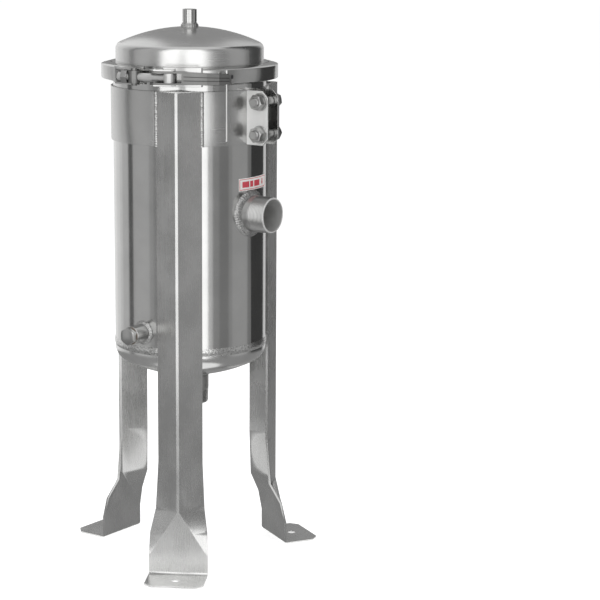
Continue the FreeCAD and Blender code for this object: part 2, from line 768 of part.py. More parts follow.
back_plate = curved_plate("back_plate", ring_face, "clamp_radius + plate_sheet",
                          f"closure_height - {arm_outer}", f"closure_height + {arm_outer}",
                          "plate_start_azimuth", "plate_end_azimuth")
window = curved_plate("back_window", "clamp_radius - plate_sheet", "clamp_radius + 3 * plate_sheet",
                      "closure_height - plate_window_height / 2", "closure_height + plate_window_height / 2",
                      "plate_window_start", "plate_window_end")
arms = []
for arm, (low, high) in enumerate(((f"closure_height - {arm_outer}", f"closure_height - {arm_inner}"),
                                   (f"closure_height + {arm_inner}", f"closure_height + {arm_outer}"))):
    arms.append(curved_plate(f"hook_arm_{arm}", ring_face, "arm_outer_radius", low, high,
                             "arm_start_azimuth", "arm_end_azimuth"))
hook_whole = joined("hook_whole", [back_plate] + arms)
hook_seat = rod("hook_seat", "cross_bar_stub / 2 + 2 * fit_gap", f"4 * {arm_outer}", bar_x, bar_y,
                f"closure_height - 2 * {arm_outer}")
exit_turn = "(cross_bar_azimuth + 90 - hook_exit_angle)"
exit_size = "3 * cross_bar_diameter"
exit_block = block("hook_exit", exit_size, f"{exit_size} + cross_bar_stub / 2 + 2 * fit_gap", f"4 * {arm_outer}",
                   f"{bar_x} + {exit_size} * sin{exit_turn}", f"{bar_y} - {exit_size} * cos{exit_turn}",
                   f"closure_height - 2 * {arm_outer}", angle=value(exit_turn))
keep(less("hooks", hook_whole, [window, hook_seat, exit_block]), "latch_hook_bracket")

# Swing rod: a bar from the cross bar to the lever, with an eye for the lever's pin

rod_middle = "((cross_bar_azimuth + rod_pin_azimuth) / 2)"
rod_half_angle = "((rod_pin_azimuth - cross_bar_azimuth) / 2)"
rod_distance = f"(latch_circle * cos({rod_half_angle}))"
rod_half_length = f"(latch_circle * sin({rod_half_angle}))"
pin_x = "latch_circle * cos(rod_pin_azimuth)"
pin_y = "latch_circle * sin(rod_pin_azimuth)"
along_rod = value(f"{rod_middle} + 90")


def on_rod(offset):
    """Plan place at a distance from the rod's middle, measured towards the lever."""
    across = f"{rod_distance} * cos{rod_middle} - ({offset}) * sin{rod_middle}"
    up = f"{rod_distance} * sin{rod_middle} + ({offset}) * cos{rod_middle}"
    return across, up


def rod_turn():
    """Rotation that lays an upright bar along the swing rod."""
    return Rotation(Vector(0, 0, 1), along_rod) * Rotation(Vector(0, 1, 0), 90)


def lay_on_rod(item, offset, spin=0.0):
    """Lay an upright bar along the swing rod, starting at an offset from its middle."""
    across, up = on_rod(offset)
    turn = rod_turn() * Rotation(Vector(0, 0, 1), spin)
    return put(item, across, up, "closure_height", turn.Axis, math.degrees(turn.Angle))


rod_bar = lay_on_rod(rod("rod_bar", "rod_diameter / 2", f"2 * {rod_half_length} + rod_tail"),
                     f"-({rod_half_length} + rod_tail)")
rod_eye = rod("rod_eye", "rod_eye_diameter / 2", "rod_eye_height", pin_x, pin_y,
              "closure_height - rod_eye_height / 2")
rod_eye_bore = drill("rod_eye_bore", "rod_pin_diameter", pin_x, pin_y)
keep(less("rod_bored", joined("rod_whole", [rod_bar, rod_eye]), [rod_eye_bore]), "latch_rod")

bar_body = rod("bar_body", "cross_bar_diameter / 2", "cross_bar_diameter", bar_x, bar_y,
               "closure_height - cross_bar_diameter / 2")
bar_stub = rod("bar_stub", "cross_bar_stub / 2", f"2 * ({arm_outer} + cross_bar_proud)", bar_x, bar_y,
               f"closure_height - {arm_outer} - cross_bar_proud")
bar_bore = lay_on_rod(rod("bar_bore", "rod_diameter / 2 + bore_gap", "3 * cross_bar_diameter"),
                      f"-({rod_half_length} + 1.5 * cross_bar_diameter)")
keep(less("bar_bored", joined("bar_whole", [bar_body, bar_stub]), [bar_bore]), "latch_cross_bar")

nut_start = f"-({rod_half_length} + cross_bar_diameter / 2 + fit_gap + rod_nut_height)"
rod_nut = lay_on_rod(hexagon("rod_nut_blank", "rod_nut_flats", "rod_nut_height"), nut_start, spin=30)
rod_nut_bore = lay_on_rod(rod("rod_nut_bore", "rod_diameter / 2 + bore_gap", "3 * rod_nut_height"),
                          f"{nut_start} - rod_nut_height")
keep(less("rod_nut_bored", rod_nut, [rod_nut_bore]), "latch_rod_nut")

# Lever bracket on half B: a base plate on the ring and two cheeks that carry the lever's pivots

pivot_x = "pivot_circle * cos(pivot_azimuth)"
pivot_y = "pivot_circle * sin(pivot_azimuth)"
lever_half = "(lever_inner_gap / 2 + lever_sheet)"
cheek_inner = f"({lever_half} + fit_gap)"
cheek_outer = f"({cheek_inner} + bracket_sheet)"

bracket_pieces = [curved_plate("bracket_base", ring_face, "clamp_radius + bracket_sheet",
                               "closure_height - bracket_half_height", "closure_height + bracket_half_height",
                               "bracket_start_azimuth", "bracket_end_azimuth")]
for cheek, (low, high) in enumerate(((f"closure_height - {cheek_outer}", f"closure_height - {cheek_inner}"),
                                     (f"closure_height + {cheek_inner}", f"closure_height + {cheek_outer}"))):
    bracket_pieces.append(curved_plate(f"bracket_cheek_{cheek}", ring_face, "pivot_circle + lever_eye_radius",
                                       low, high, "pivot_azimuth", "bracket_cheek_azimuth"))
    bracket_pieces.append(rod(f"bracket_ear_{cheek}", "lever_eye_radius", "bracket_sheet", pivot_x, pivot_y,
                              low))
pivot_bore = drill("pivot_bore", "pivot_diameter", pivot_x, pivot_y)
keep(less("bracket_bored", joined("bracket_whole", bracket_pieces), [pivot_bore]), "lever_bracket")

pivots = []
rivet_length = f"({cheek_outer} + pivot_proud - lever_inner_gap / 2)"
rivet_feet = (f"closure_height - {cheek_outer} - pivot_proud", "closure_height + lever_inner_gap / 2")
for pivot, low in enumerate(rivet_feet):
    pivots.append(rod(f"pivot_{pivot}", "pivot_diameter / 2", rivet_length, pivot_x, pivot_y, low))
grouped("lever_pivots", pivots)

# Lever: two flat cheeks at the pivot that run into a channel following the ring

lever = doc.addObject("PartDesign::Body", "lever_channel_body")
sections = []
tail_steps = 4
for step in range(tail_steps + 1):
    share = step / tail_steps
    turn = f"(lever_web_azimuth + (handle_end_azimuth - lever_web_azimuth) * {share})"
    top = f"closure_height + {lever_half} + (lever_tail_top - {lever_half}) * {share}"
    bottom = f"closure_height - {lever_half} - (lever_tail_bottom - {lever_half}) * {share}"
    corners = [
        ("lever_inner_radius", bottom),
        ("lever_outer_radius", bottom),
        ("lever_outer_radius", top),
        ("lever_inner_radius", top),
        ("lever_inner_radius", f"{top} - lever_sheet"),
        ("lever_outer_radius - lever_sheet", f"{top} - lever_sheet"),
        ("lever_outer_radius - lever_sheet", f"{bottom} + lever_sheet"),
        ("lever_inner_radius", f"{bottom} + lever_sheet"),
    ]
    sections.append(outline(lever, f"lever_section_{step}", "XZ_Plane", corners, turn=value(turn)))
channel = lever.newObject("PartDesign::AdditiveLoft", "lever_channel")
channel.Profile = sections[0]
channel.Sections = sections[1:]
channel.Ruled = True

lever_pieces = [lever]
for cheek, (low, high) in enumerate((
        (f"closure_height - {lever_half}", "closure_height - lever_inner_gap / 2"),
        ("closure_height + lever_inner_gap / 2", f"closure_height + {lever_half}"))):
    lever_pieces.append(curved_plate(f"lever_cheek_{cheek}", "pivot_circle - lever_eye_radius",
                                     "lever_outer_radius", low, high, "pivot_azimuth", "lever_cheek_azimuth"))
    lever_pieces.append(rod(f"lever_eye_{cheek}", "lever_eye_radius", "lever_sheet", pivot_x, pivot_y, low))
lever_bore = drill("lever_bore", "pivot_diameter", pivot_x, pivot_y)
lever_pin_bore = drill("lever_pin_bore", "rod_pin_diameter", pin_x, pin_y)
lock_x = "lock_circle * cos(lock_azimuth)"
lock_y = "lock_circle * sin(lock_azimuth)"
lock_bore = drill("lock_bore", "lock_pin_diameter + bore_gap", lock_x, lock_y)
lever_whole = less("lever_bored", joined("lever_whole", lever_pieces),
                   [lever_bore, lever_pin_bore, lock_bore])
keep(lever_whole, "lever_handle")

keep(rod("rod_pin", "rod_pin_diameter / 2", f"2 * {lever_half}", pin_x, pin_y,
     f"closure_height - {lever_half}"), "rod_pin")

# Locking pin through the handle's end, and the lug behind it on the ring

lock_share = "(lock_azimuth - lever_web_azimuth) / (handle_end_azimuth - lever_web_azimuth)"
lock_seat = f"closure_height + {lever_half} + (lever_tail_top - {lever_half}) * {lock_share} + 1.5 * fit_gap"
lock_bar = rod("lock_bar", "lock_pin_diameter / 2", f"{lock_seat} - lock_pin_bottom", lock_x, lock_y,
               "lock_pin_bottom")
lock_head = rod("lock_head", "lock_head_size / 2", "lock_head_size", lock_x, lock_y, lock_seat)
lock_tip = doc.addObject("Part::Sphere", "lock_tip")
bind(lock_tip, Radius="lock_tip_diameter / 2")
put(lock_tip, lock_x, lock_y, "lock_pin_bottom")
keep(joined("lock_whole", [lock_bar, lock_head, lock_tip]), "lock_pin")

lug_low = "closure_height - lock_lug_drop - lock_lug_sheet"
lug = curved_plate("lug_plate", ring_face, "lock_circle", lug_low, f"{lug_low} + lock_lug_sheet",
                   "lock_azimuth", "lock_azimuth + lock_lug_sweep")
lug_notch = drill("lug_notch", "lock_tip_diameter + 2 * fit_gap", lock_x, lock_y)
keep(less("lug", lug, [lug_notch]), "lock_lug")

# Stand collar: a split band with two bolted ears over the inlet side

collar = body_of("stand_collar")
collar_inner = "(shell_radius + collar_clearance)"
collar_outer = f"({collar_inner} + collar_sheet)"
ear_inner = "ear_gap / 2"
ear_outer = "(ear_gap / 2 + collar_sheet)"
collar_plan = outline(collar, "collar_plan", "XY_Plane", [
    (f"sqrt({collar_inner}^2 - ({ear_inner})^2)", ear_inner),
    ("ear_reach", ear_inner),
    ("ear_reach", ear_outer),
    (f"sqrt({collar_outer}^2 - {ear_outer}^2)", ear_outer),
    (f"sqrt({collar_outer}^2 - {ear_outer}^2)", f"-{ear_outer}"),
    ("ear_reach", f"-{ear_outer}"),
    ("ear_reach", f"-({ear_inner})"),
    (f"sqrt({collar_inner}^2 - ({ear_inner})^2)", f"-({ear_inner})"),
], {3: (collar_outer, "0", "0", True), 7: (collar_inner, "0", "0", False)}, lift="collar_bottom")
pad(collar, collar_plan, "collar_top - collar_bottom")
bolt_holes = circles(collar, "bolt_holes", "XZ_Plane", [
    ("bolt_hole / 2", "bolt_reach", "bolt_upper"),
    ("bolt_hole / 2", "bolt_reach", "bolt_lower"),
])
pocket(collar, bolt_holes, "4 * ear_gap", both_ways=True)
doc.recompute()
ear_corners = []
ear_end = value("ear_reach")
for number, edge in enumerate(collar.Shape.Edges, start=1):
    box = edge.BoundBox
    if abs(box.XMin - ear_end) + box.XLength + box.ZLength < 0.01:
        ear_corners.append(f"Edge{number}")
drilled_collar = collar.Tip
ear_cut = collar.newObject("PartDesign::Chamfer", "ear_corners")
ear_cut.Base = (drilled_collar, ear_corners)
ear_cut.setExpression("Size", link("ear_chamfer"))

bolts = []
nuts = []
washers = []
side_face = f"({ear_outer} + washer_thickness)"
for level, height in (("upper", "bolt_upper"), ("lower", "bolt_lower")):
    shank = rod(f"shank_{level}", "bolt_diameter / 2",
                f"2 * {side_face} + bolt_nut_height + bolt_stud", "bolt_reach", side_face, height,
                axis=Vector(1, 0, 0), angle=90)
    head = hexagon(f"head_{level}", "bolt_flats", "bolt_head_height", "bolt_reach",
                   f"{side_face} + bolt_head_height", height, axis=Vector(1, 0, 0), angle=90)
    bolts.append(joined(f"bolt_{level}", [shank, head]))
    blank = hexagon(f"nut_blank_{level}", "bolt_flats", "bolt_nut_height", "bolt_reach", f"-{side_face}",
                    height, axis=Vector(1, 0, 0), angle=90)
    thread = rod(f"nut_bore_{level}", "bolt_diameter / 2 + bore_gap", "6 * ear_gap", "bolt_reach",
                 "3 * ear_gap", height, axis=Vector(1, 0, 0), angle=90)
    nuts.append(less(f"nut_{level}", blank, [thread]))
    for side, face in (("far", f"{side_face}"), ("near", f"-{ear_outer}")):
        disc = rod(f"disc_{level}_{side}", "washer_diameter / 2", "washer_thickness", "bolt_reach", face,
                   height, axis=Vector(1, 0, 0), angle=90)
        eye = rod(f"disc_bore_{level}_{side}", "bolt_hole / 2", "6 * ear_gap", "bolt_reach", "3 * ear_gap",
                  height, axis=Vector(1, 0, 0), angle=90)
        washers.append(less(f"washer_{level}_{side}", disc, [eye]))
grouped("collar_bolts", bolts)
grouped("collar_nuts", nuts)
grouped("collar_washers", washers)

# Legs: sheet folded to a V that is pressed flat above a bent foot

LEG_AZIMUTHS = {"leg_front": -60.0, "leg_right": 60.0, "leg_back": 180.0}


def leg_section(body, name, height, crease, half_angle):
    """Plan section of the folded sheet: a narrow flat ridge between two slanting flanges."""
    wing = f"(leg_flange - ({crease}))"
    edge_x = f"(leg_ridge_radius - {wing} * cos({half_angle}))"
    edge_y = f"(({crease}) + {wing} * sin({half_angle}))"
    inner_x = f"({edge_x} - leg_sheet * sin({half_angle}))"
    inner_y = f"({edge_y} - leg_sheet * cos({half_angle}))"
    fold_x = "leg_ridge_radius - leg_sheet"
    fold_y = f"(({crease}) - leg_sheet * tan((90 - ({half_angle})) / 2))"
    half = [(edge_x, edge_y), ("leg_ridge_radius", crease)]
    inner_half = [(fold_x, fold_y), (inner_x, inner_y)]
    mirrored = [(x, f"-({y})") for x, y in reversed(half)]
    inner_mirrored = [(x, f"-({y})") for x, y in reversed(inner_half)]
    corners = half + mirrored + inner_mirrored + inner_half
    return outline(body, name, "XY_Plane", corners, lift=height)


def leg(label, azimuth):
    """One leg with its foot, turned to its plan angle."""
    body = body_of(label)
    middle_height = "(leg_apex_height + leg_flat_height) / 2"
    stations = [
        ("collar_top", "leg_ridge_half", "leg_half_angle"),
        ("leg_flare_height", "leg_ridge_half", "leg_half_angle"),
        ("leg_apex_height", "leg_ridge_half", "leg_flare_angle"),
        (middle_height, "leg_press_crease", "leg_press_angle"),
        ("leg_flat_height", "leg_flat_crease", "leg_flat_angle"),
    ]
    drawn = [leg_section(body, f"{label}_station_{number}", *station)
             for number, station in enumerate(stations)]
    loft = body.newObject("PartDesign::AdditiveLoft", f"{label}_loft")
    loft.Profile = drawn[0]
    loft.Sections = drawn[1:]
    loft.Ruled = True
    inside = "leg_ridge_radius - leg_sheet"
    bend_x = "(leg_ridge_radius + foot_bend_radius)"
    bend_z = "(leg_sheet + foot_bend_radius)"
    bend = outline(body, f"{label}_bend", "XZ_Plane", [
        (inside, "leg_flat_height"),
        (inside, bend_z),
        (bend_x, "0"),
        (bend_x, "leg_sheet"),
        ("leg_ridge_radius", bend_z),
        ("leg_ridge_radius", "leg_flat_height"),
    ], {1: ("leg_sheet + foot_bend_radius", bend_x, bend_z, True),
        3: ("foot_bend_radius", bend_x, bend_z, False)})
    pad(body, bend, "2 * leg_flange", both_ways=True)
    plate = outline(body, f"{label}_foot", "XY_Plane", [
        (bend_x, "-leg_flange"),
        ("foot_reach - foot_chamfer", "-leg_flange"),
        ("foot_reach", "-(leg_flange - foot_chamfer)"),
        ("foot_reach", "leg_flange - foot_chamfer"),
        ("foot_reach - foot_chamfer", "leg_flange"),
        (bend_x, "leg_flange"),
    ])
    pad(body, plate, "leg_sheet")
    hole = circles(body, f"{label}_hole", "XY_Plane", [("foot_hole / 2", "foot_hole_radius", "0")])
    pocket(body, hole, "2 * leg_sheet", both_ways=True)
    fit = circles(body, f"{label}_fit", "XY_Plane", [(collar_outer, "0", "0")], lift="collar_bottom - 1")
    pocket(body, fit, "collar_top - collar_bottom + 2", reverse=True)
    return put(body, angle=azimuth)


legs = [leg(label, azimuth) for label, azimuth in LEG_AZIMUTHS.items()]
doc.recompute()

leg_beads = []
collar_face = value(collar_outer)
wing_reach = value("leg_ridge_half + (leg_flange - leg_ridge_half) * sin(leg_half_angle)")
bead_angle = math.degrees(math.asin(wing_reach / collar_face))
collar_blank = Part.makeCylinder(collar_face, value("shell_top"))
for azimuth, carrier in zip(LEG_AZIMUTHS.values(), legs):
    for side in (-1, 1):
        turn = math.radians(azimuth + side * bead_angle)
        foot = Vector(collar_face * math.cos(turn), collar_face * math.sin(turn), value("collar_bottom"))
        bead = Part.makeCylinder(value("leg_weld_diameter / 2"), value("collar_top - collar_bottom"), foot)
        bead = bead.cut(collar_blank).cut(carrier.Shape)
        leg_beads.append(max(bead.Solids, key=lambda solid: solid.Volume))
welds = doc.addObject("Part::Feature", "leg_welds_shape")
welds.Shape = Part.makeCompound(leg_beads)
keep(welds, "leg_welds")

# Label tape on the shell above the inlet

tape_back = "shell_radius + fit_gap / 2"
tape = curved_plate("tape", tape_back, f"{tape_back} + label_thickness", "label_bottom",
                    "label_bottom + label_height", "label_start_azimuth", "label_end_azimuth")
keep(tape, "inlet_label")

# Inside: the seat plate, five cartridges on their seats, and the plate and rod that hold them down

seat_top = "(seat_plate_height + seat_plate_thickness)"


def cartridge_places():
    """Plan angle of each cartridge."""
    count = round(value("cartridge_count"))
    return [90 + 360 * number / count for number in range(count)]


def round_set(label, inner, outer, low, high):
    """The same ring once for every cartridge."""
    rings = []
    for number, turn in enumerate(cartridge_places()):
        x = f"cartridge_circle * cos({turn})"
        y = f"cartridge_circle * sin({turn})"
        full = rod(f"{label}_outer_{number}", outer, f"({high}) - ({low})", x, y, low)
        core = rod(f"{label}_inner_{number}", inner, f"({high}) - ({low})", x, y, low)
        rings.append(less(f"{label}_ring_{number}", full, [core]))
    return grouped(label, rings)


def drilled_disc(label, low, thickness, radius, hole, centre_hole):
    """A round plate with one hole for every cartridge and one in the middle."""
    body = body_of(label)
    disc = circles(body, f"{label}_disc", "XY_Plane", [(radius, "0", "0")], lift=low)
    pad(body, disc, thickness)
    rings = [(centre_hole, "0", "0")]
    for turn in cartridge_places():
        rings.append((hole, f"cartridge_circle * cos({turn})", f"cartridge_circle * sin({turn})"))
    drilled = circles(body, f"{label}_holes", "XY_Plane", rings, lift=low)
    pocket(body, drilled, f"3 * ({thickness})", both_ways=True)
    return body


drilled_disc("seat_plate", "seat_plate_height", "seat_plate_thickness",
             "shell_inside - plate_gap", "seat_bore / 2", "tie_rod_diameter / 2 + bore_gap")
seat_face = f"({seat_top} + seat_height)"
cartridge_low = f"({seat_face} + end_gasket_thickness)"
cartridge_high = f"({cartridge_low} + cartridge_length)"
cap_low = f"({cartridge_high} + end_gasket_thickness)"
round_set("cartridge_seats", "seat_bore / 2", "cartridge_bore / 2 + seat_rim", seat_top, seat_face)
round_set("lower_end_gaskets", "cartridge_bore / 2", "cartridge_diameter / 2 - end_gasket_inset", seat_face,
          cartridge_low)
round_set("filter_cartridges", "cartridge_bore / 2", "cartridge_diameter / 2", cartridge_low, cartridge_high)
round_set("cartridge_cores", "cartridge_bore / 2 - core_wall", "cartridge_bore / 2 - core_gap",
          cartridge_low, cartridge_high)
round_set("upper_end_gaskets", "cartridge_bore / 2", "cartridge_diameter / 2 - end_gasket_inset",
          cartridge_high, cap_low)
drilled_disc("hold_down_plate", cap_low, "hold_plate_thickness", "hold_plate_radius", "hold_plate_hole / 2",
             "tie_rod_diameter / 2 + tie_clearance")

tie_nut_low = f"({cap_low} + hold_plate_thickness + washer_thickness)"
tie_low = "(seat_plate_height - tie_nut_height)"
tie_high = f"({tie_nut_low} + tie_rod_above)"
keep(rod("tie_rod_bar", "tie_rod_diameter / 2", f"{tie_high} - {tie_low}", z=tie_low), "tie_rod")
ring("tie_washer", "tie_rod_diameter / 2 + tie_clearance", "tie_washer_diameter / 2",
     f"{cap_low} + hold_plate_thickness", tie_nut_low)
tie_nuts = []
for name, low in (("tie_nut_upper", tie_nut_low), ("tie_nut_lower", tie_low)):
    blank = hexagon(f"{name}_blank", "tie_nut_flats", "tie_nut_height", z=low)
    thread = rod(f"{name}_bore", "tie_rod_diameter / 2 + bore_gap", "3 * tie_nut_height",
                 z=f"{low} - tie_nut_height")
    tie_nuts.append(less(name, blank, [thread]))
grouped("tie_rod_nuts", tie_nuts)

doc.recompute()

for item in doc.Objects:
    if "Invalid" in item.State or "Error" in item.State:
        raise RuntimeError(f"{item.Name} did not build")
for item in sub_parts:
    if item.Shape.isNull() or not item.Shape.isValid():
        raise RuntimeError(f"{item.Label} has no valid shape")

os.makedirs("parts", exist_ok=True)
for item in sub_parts:
    item.Shape.exportStep(f"parts/{item.Label}.step")
    print(item.Label, len(item.Shape.Solids), round(item.Shape.Volume))
print(len(sub_parts), "sub-parts")
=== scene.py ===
"""Looks of a free-standing stainless inlet filter.

An upright cartridge vessel hangs in a split collar on three folded sheet legs. Its domed lid is held by a
clamp ring with an over-centre lever. Metres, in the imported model's own frame: Z points up from the floor
along the vessel's axis, +X points out of the inlet and -Y out of the drain.
"""

import logging
import math
import random
from dataclasses import dataclass, field
from enum import Enum
from typing import Sequence

import bpy
from mathutils import Matrix, Vector


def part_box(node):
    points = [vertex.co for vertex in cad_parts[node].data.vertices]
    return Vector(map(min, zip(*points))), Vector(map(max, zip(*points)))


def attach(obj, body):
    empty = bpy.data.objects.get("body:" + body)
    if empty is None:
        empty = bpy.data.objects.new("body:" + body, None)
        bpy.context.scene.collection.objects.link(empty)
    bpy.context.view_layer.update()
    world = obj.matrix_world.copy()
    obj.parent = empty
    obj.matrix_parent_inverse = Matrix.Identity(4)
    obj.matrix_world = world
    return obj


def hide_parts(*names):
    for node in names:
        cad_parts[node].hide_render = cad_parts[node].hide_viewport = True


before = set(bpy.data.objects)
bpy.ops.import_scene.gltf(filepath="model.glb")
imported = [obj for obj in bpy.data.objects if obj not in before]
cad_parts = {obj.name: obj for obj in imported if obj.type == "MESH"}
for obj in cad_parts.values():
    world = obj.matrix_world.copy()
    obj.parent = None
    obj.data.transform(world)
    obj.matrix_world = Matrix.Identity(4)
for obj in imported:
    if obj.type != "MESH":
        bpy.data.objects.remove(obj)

MM = 0.001
GRAIN_STRETCH = 60  # how many times longer than wide a line of brushing is
WAVE_PHASE = 20  # radians that a wave texture of scale 1 turns in a metre
RIM_MM = 0.7  # how far the painted highlight on a pipe's rim reaches down from its mouth
FLAT_ENOUGH = 0.99  # faces whose normal agrees better than this with a direction face that way
HEX_LAND = 0.97  # width of a hexagon's round top against its width across flats
HEX_CONE_DEG = 28.0  # slope of its turned corners
HEX_BREAK_MM = 0.18  # its broken edges
PANEL_FACET_DEG = 3.0  # width of one facet of the light tent
WHITE = (1.0, 1.0, 1.0, 1.0)
Point = tuple[float, float]
log = logging.getLogger("inlet_filter")


class Grain(Enum):
    """Which way the fine marks of a sheet or tube run."""

    AROUND = "around"
    UPRIGHT = "upright"
    NONE = "none"


class Axis(Enum):
    """A direction that an upright piece is laid along."""

    UP = (0.0, 0.0, 1.0)
    DOWN = (0.0, 0.0, -1.0)
    INLET = (1.0, 0.0, 0.0)
    DRAIN = (0.0, -1.0, 0.0)


# Colour and shader graph


def linear(code: str) -> tuple[float, float, float, float]:
    """Turn an sRGB hex colour to the linear values that a shader takes.

    Args:
        code: Six hex digits with a leading hash.

    Returns:
        Red, green, blue and a full alpha.
    """
    channels = [int(code[start:start + 2], 16) / 255 for start in (1, 3, 5)]
    values = [c / 12.92 if c <= 0.04045 else ((c + 0.055) / 1.055) ** 2.4 for c in channels]
    return values[0], values[1], values[2], 1.0


def add_node(tree: bpy.types.NodeTree, kind: str, inputs: dict[str | int, object] | None = None,
             **settings: object) -> bpy.types.Node:
    """Add one node with its settings, values and links.

    Args:
        tree: The material's or world's node tree.
        kind: Blender's name of the node.
        inputs: Values or output sockets, by the name or number of the input.
        settings: Attributes of the node itself.

    Returns:
        The new node.
    """
    node = tree.nodes.new(kind)
    for name, setting in settings.items():
        setattr(node, name, setting)
    for name, given in (inputs or {}).items():
        if isinstance(given, bpy.types.NodeSocket):
            tree.links.new(given, node.inputs[name])
        else:
            node.inputs[name].default_value = given
    return node


def blank_material(name: str) -> tuple[bpy.types.Material, bpy.types.NodeTree, bpy.types.Node]:
    """Make a material that holds only a shader and its output.

    Args:
        name: The material's name.

    Returns:
        The material, its tree and its shader.
    """
    material = bpy.data.materials.new(name)
    material.use_nodes = True
    tree = material.node_tree
    tree.nodes.clear()
    shader = add_node(tree, "ShaderNodeBsdfPrincipled")
    add_node(tree, "ShaderNodeOutputMaterial", {"Surface": shader.outputs["BSDF"]})
    return material, tree, shader


def noise_at(tree: bpy.types.NodeTree, per_metre: Sequence[float], detail: float = 2.0,
             turn: tuple[float, float, float] = (0.0, 0.0, 0.0)) -> bpy.types.NodeSocket:
    """Noise on the piece's own place, stretched along the three axes.

    Args:
        tree: The node tree.
        per_metre: How many grains fit in a metre along X, Y and Z.
        detail: How many finer layers are added.
        turn: Rotation of the grain in radians.

    Returns:
        The noise factor's socket.
    """
    place = add_node(tree, "ShaderNodeTexCoord")
    scaled = add_node(tree, "ShaderNodeMapping", {"Vector": place.outputs["Object"], "Rotation": turn,
                                                  "Scale": tuple(per_metre)})
    noise = add_node(tree, "ShaderNodeTexNoise", {"Vector": scaled.outputs["Vector"], "Scale": 1.0,
                                                  "Detail": detail, "Roughness": 0.55})
    return noise.outputs["Fac"]


def spread(tree: bpy.types.NodeTree, source: bpy.types.NodeSocket, low: float, high: float,
           start: float = 0.25, end: float = 0.75) -> bpy.types.NodeSocket:
    """Map part of a noise's range to two values.

    Args:
        tree: The node tree.
        source: The noise.
        low: The value at the range's start.
        high: The value at the range's end.
        start: Where the range starts.
        end: Where the range ends.

    Returns:
        The mapped value's socket.
    """
    node = add_node(tree, "ShaderNodeMapRange", {"Value": source, "From Min": start, "From Max": end,
                                                 "To Min": low, "To Max": high})
    return node.outputs["Result"]


def seen_directly(tree: bpy.types.NodeTree) -> bpy.types.NodeSocket:
    """Tell the rays that show a backdrop from those that only gather its light.

    Args:
        tree: The node tree.

    Returns:
        A socket that is 1 for camera, glossy and transmission rays, and 0 for the rest.
    """
    path = add_node(tree, "ShaderNodeLightPath")
    mirrored = add_node(tree, "ShaderNodeMath", {0: path.outputs["Is Camera Ray"],
                                                 1: path.outputs["Is Glossy Ray"]}, operation="MAXIMUM")
    through = add_node(tree, "ShaderNodeMath", {0: mirrored.outputs["Value"],
                                                1: path.outputs["Is Transmission Ray"]}, operation="MAXIMUM")
    return through.outputs["Value"]


# Finishes


def two_colours(tree: bpy.types.NodeTree, factor: bpy.types.NodeSocket, low: str, high: str
                ) -> bpy.types.NodeSocket:
    """Mix two hex colours.

    Args:
        tree: The node tree.
        factor: How much of the second colour shows, from 0 to 1.
        low: The colour at 0.
        high: The colour at 1.

    Returns:
        The colour's socket.
    """
    mix = add_node(tree, "ShaderNodeMix", {"Factor": factor, "A": linear(low), "B": linear(high)},
                   data_type="RGBA")
    return mix.outputs["Result"]


@dataclass(frozen=True)
class Finish:
    """What every finish has: its name, its two colours, and a material that is made once."""

    name: str
    colour: str
    dark_colour: str

    def material(self) -> bpy.types.Material:
        """Make the finish's material once, and give the same one afterwards."""
        found = bpy.data.materials.get(self.name)
        if found:
            return found
        material, tree, shader = blank_material(self.name)
        self.wire(tree, shader)
        return material

    def wire(self, tree: bpy.types.NodeTree, shader: bpy.types.Node) -> None:
        """Add the nodes of this kind of finish and link them to its shader.

        Args:
            tree: The material's node tree.
            shader: The material's shader.
        """
        raise NotImplementedError(self.name)

    def link(self, tree: bpy.types.NodeTree, shader: bpy.types.Node, colour: bpy.types.NodeSocket,
             roughness: bpy.types.NodeSocket, height: bpy.types.NodeSocket, depth_mm: float) -> None:
        """Link colour, roughness and relief to the shader.

        Args:
            tree: The material's node tree.
            shader: The material's shader.
            colour: The colour's socket.
            roughness: The roughness's socket.
            height: The relief's socket.
            depth_mm: Depth of the relief, in millimetres.
        """
        bump = add_node(tree, "ShaderNodeBump", {"Height": height, "Strength": 1.0,
                                                 "Distance": depth_mm * MM})
        tree.links.new(colour, shader.inputs["Base Color"])
        tree.links.new(roughness, shader.inputs["Roughness"])
        tree.links.new(bump.outputs["Normal"], shader.inputs["Normal"])


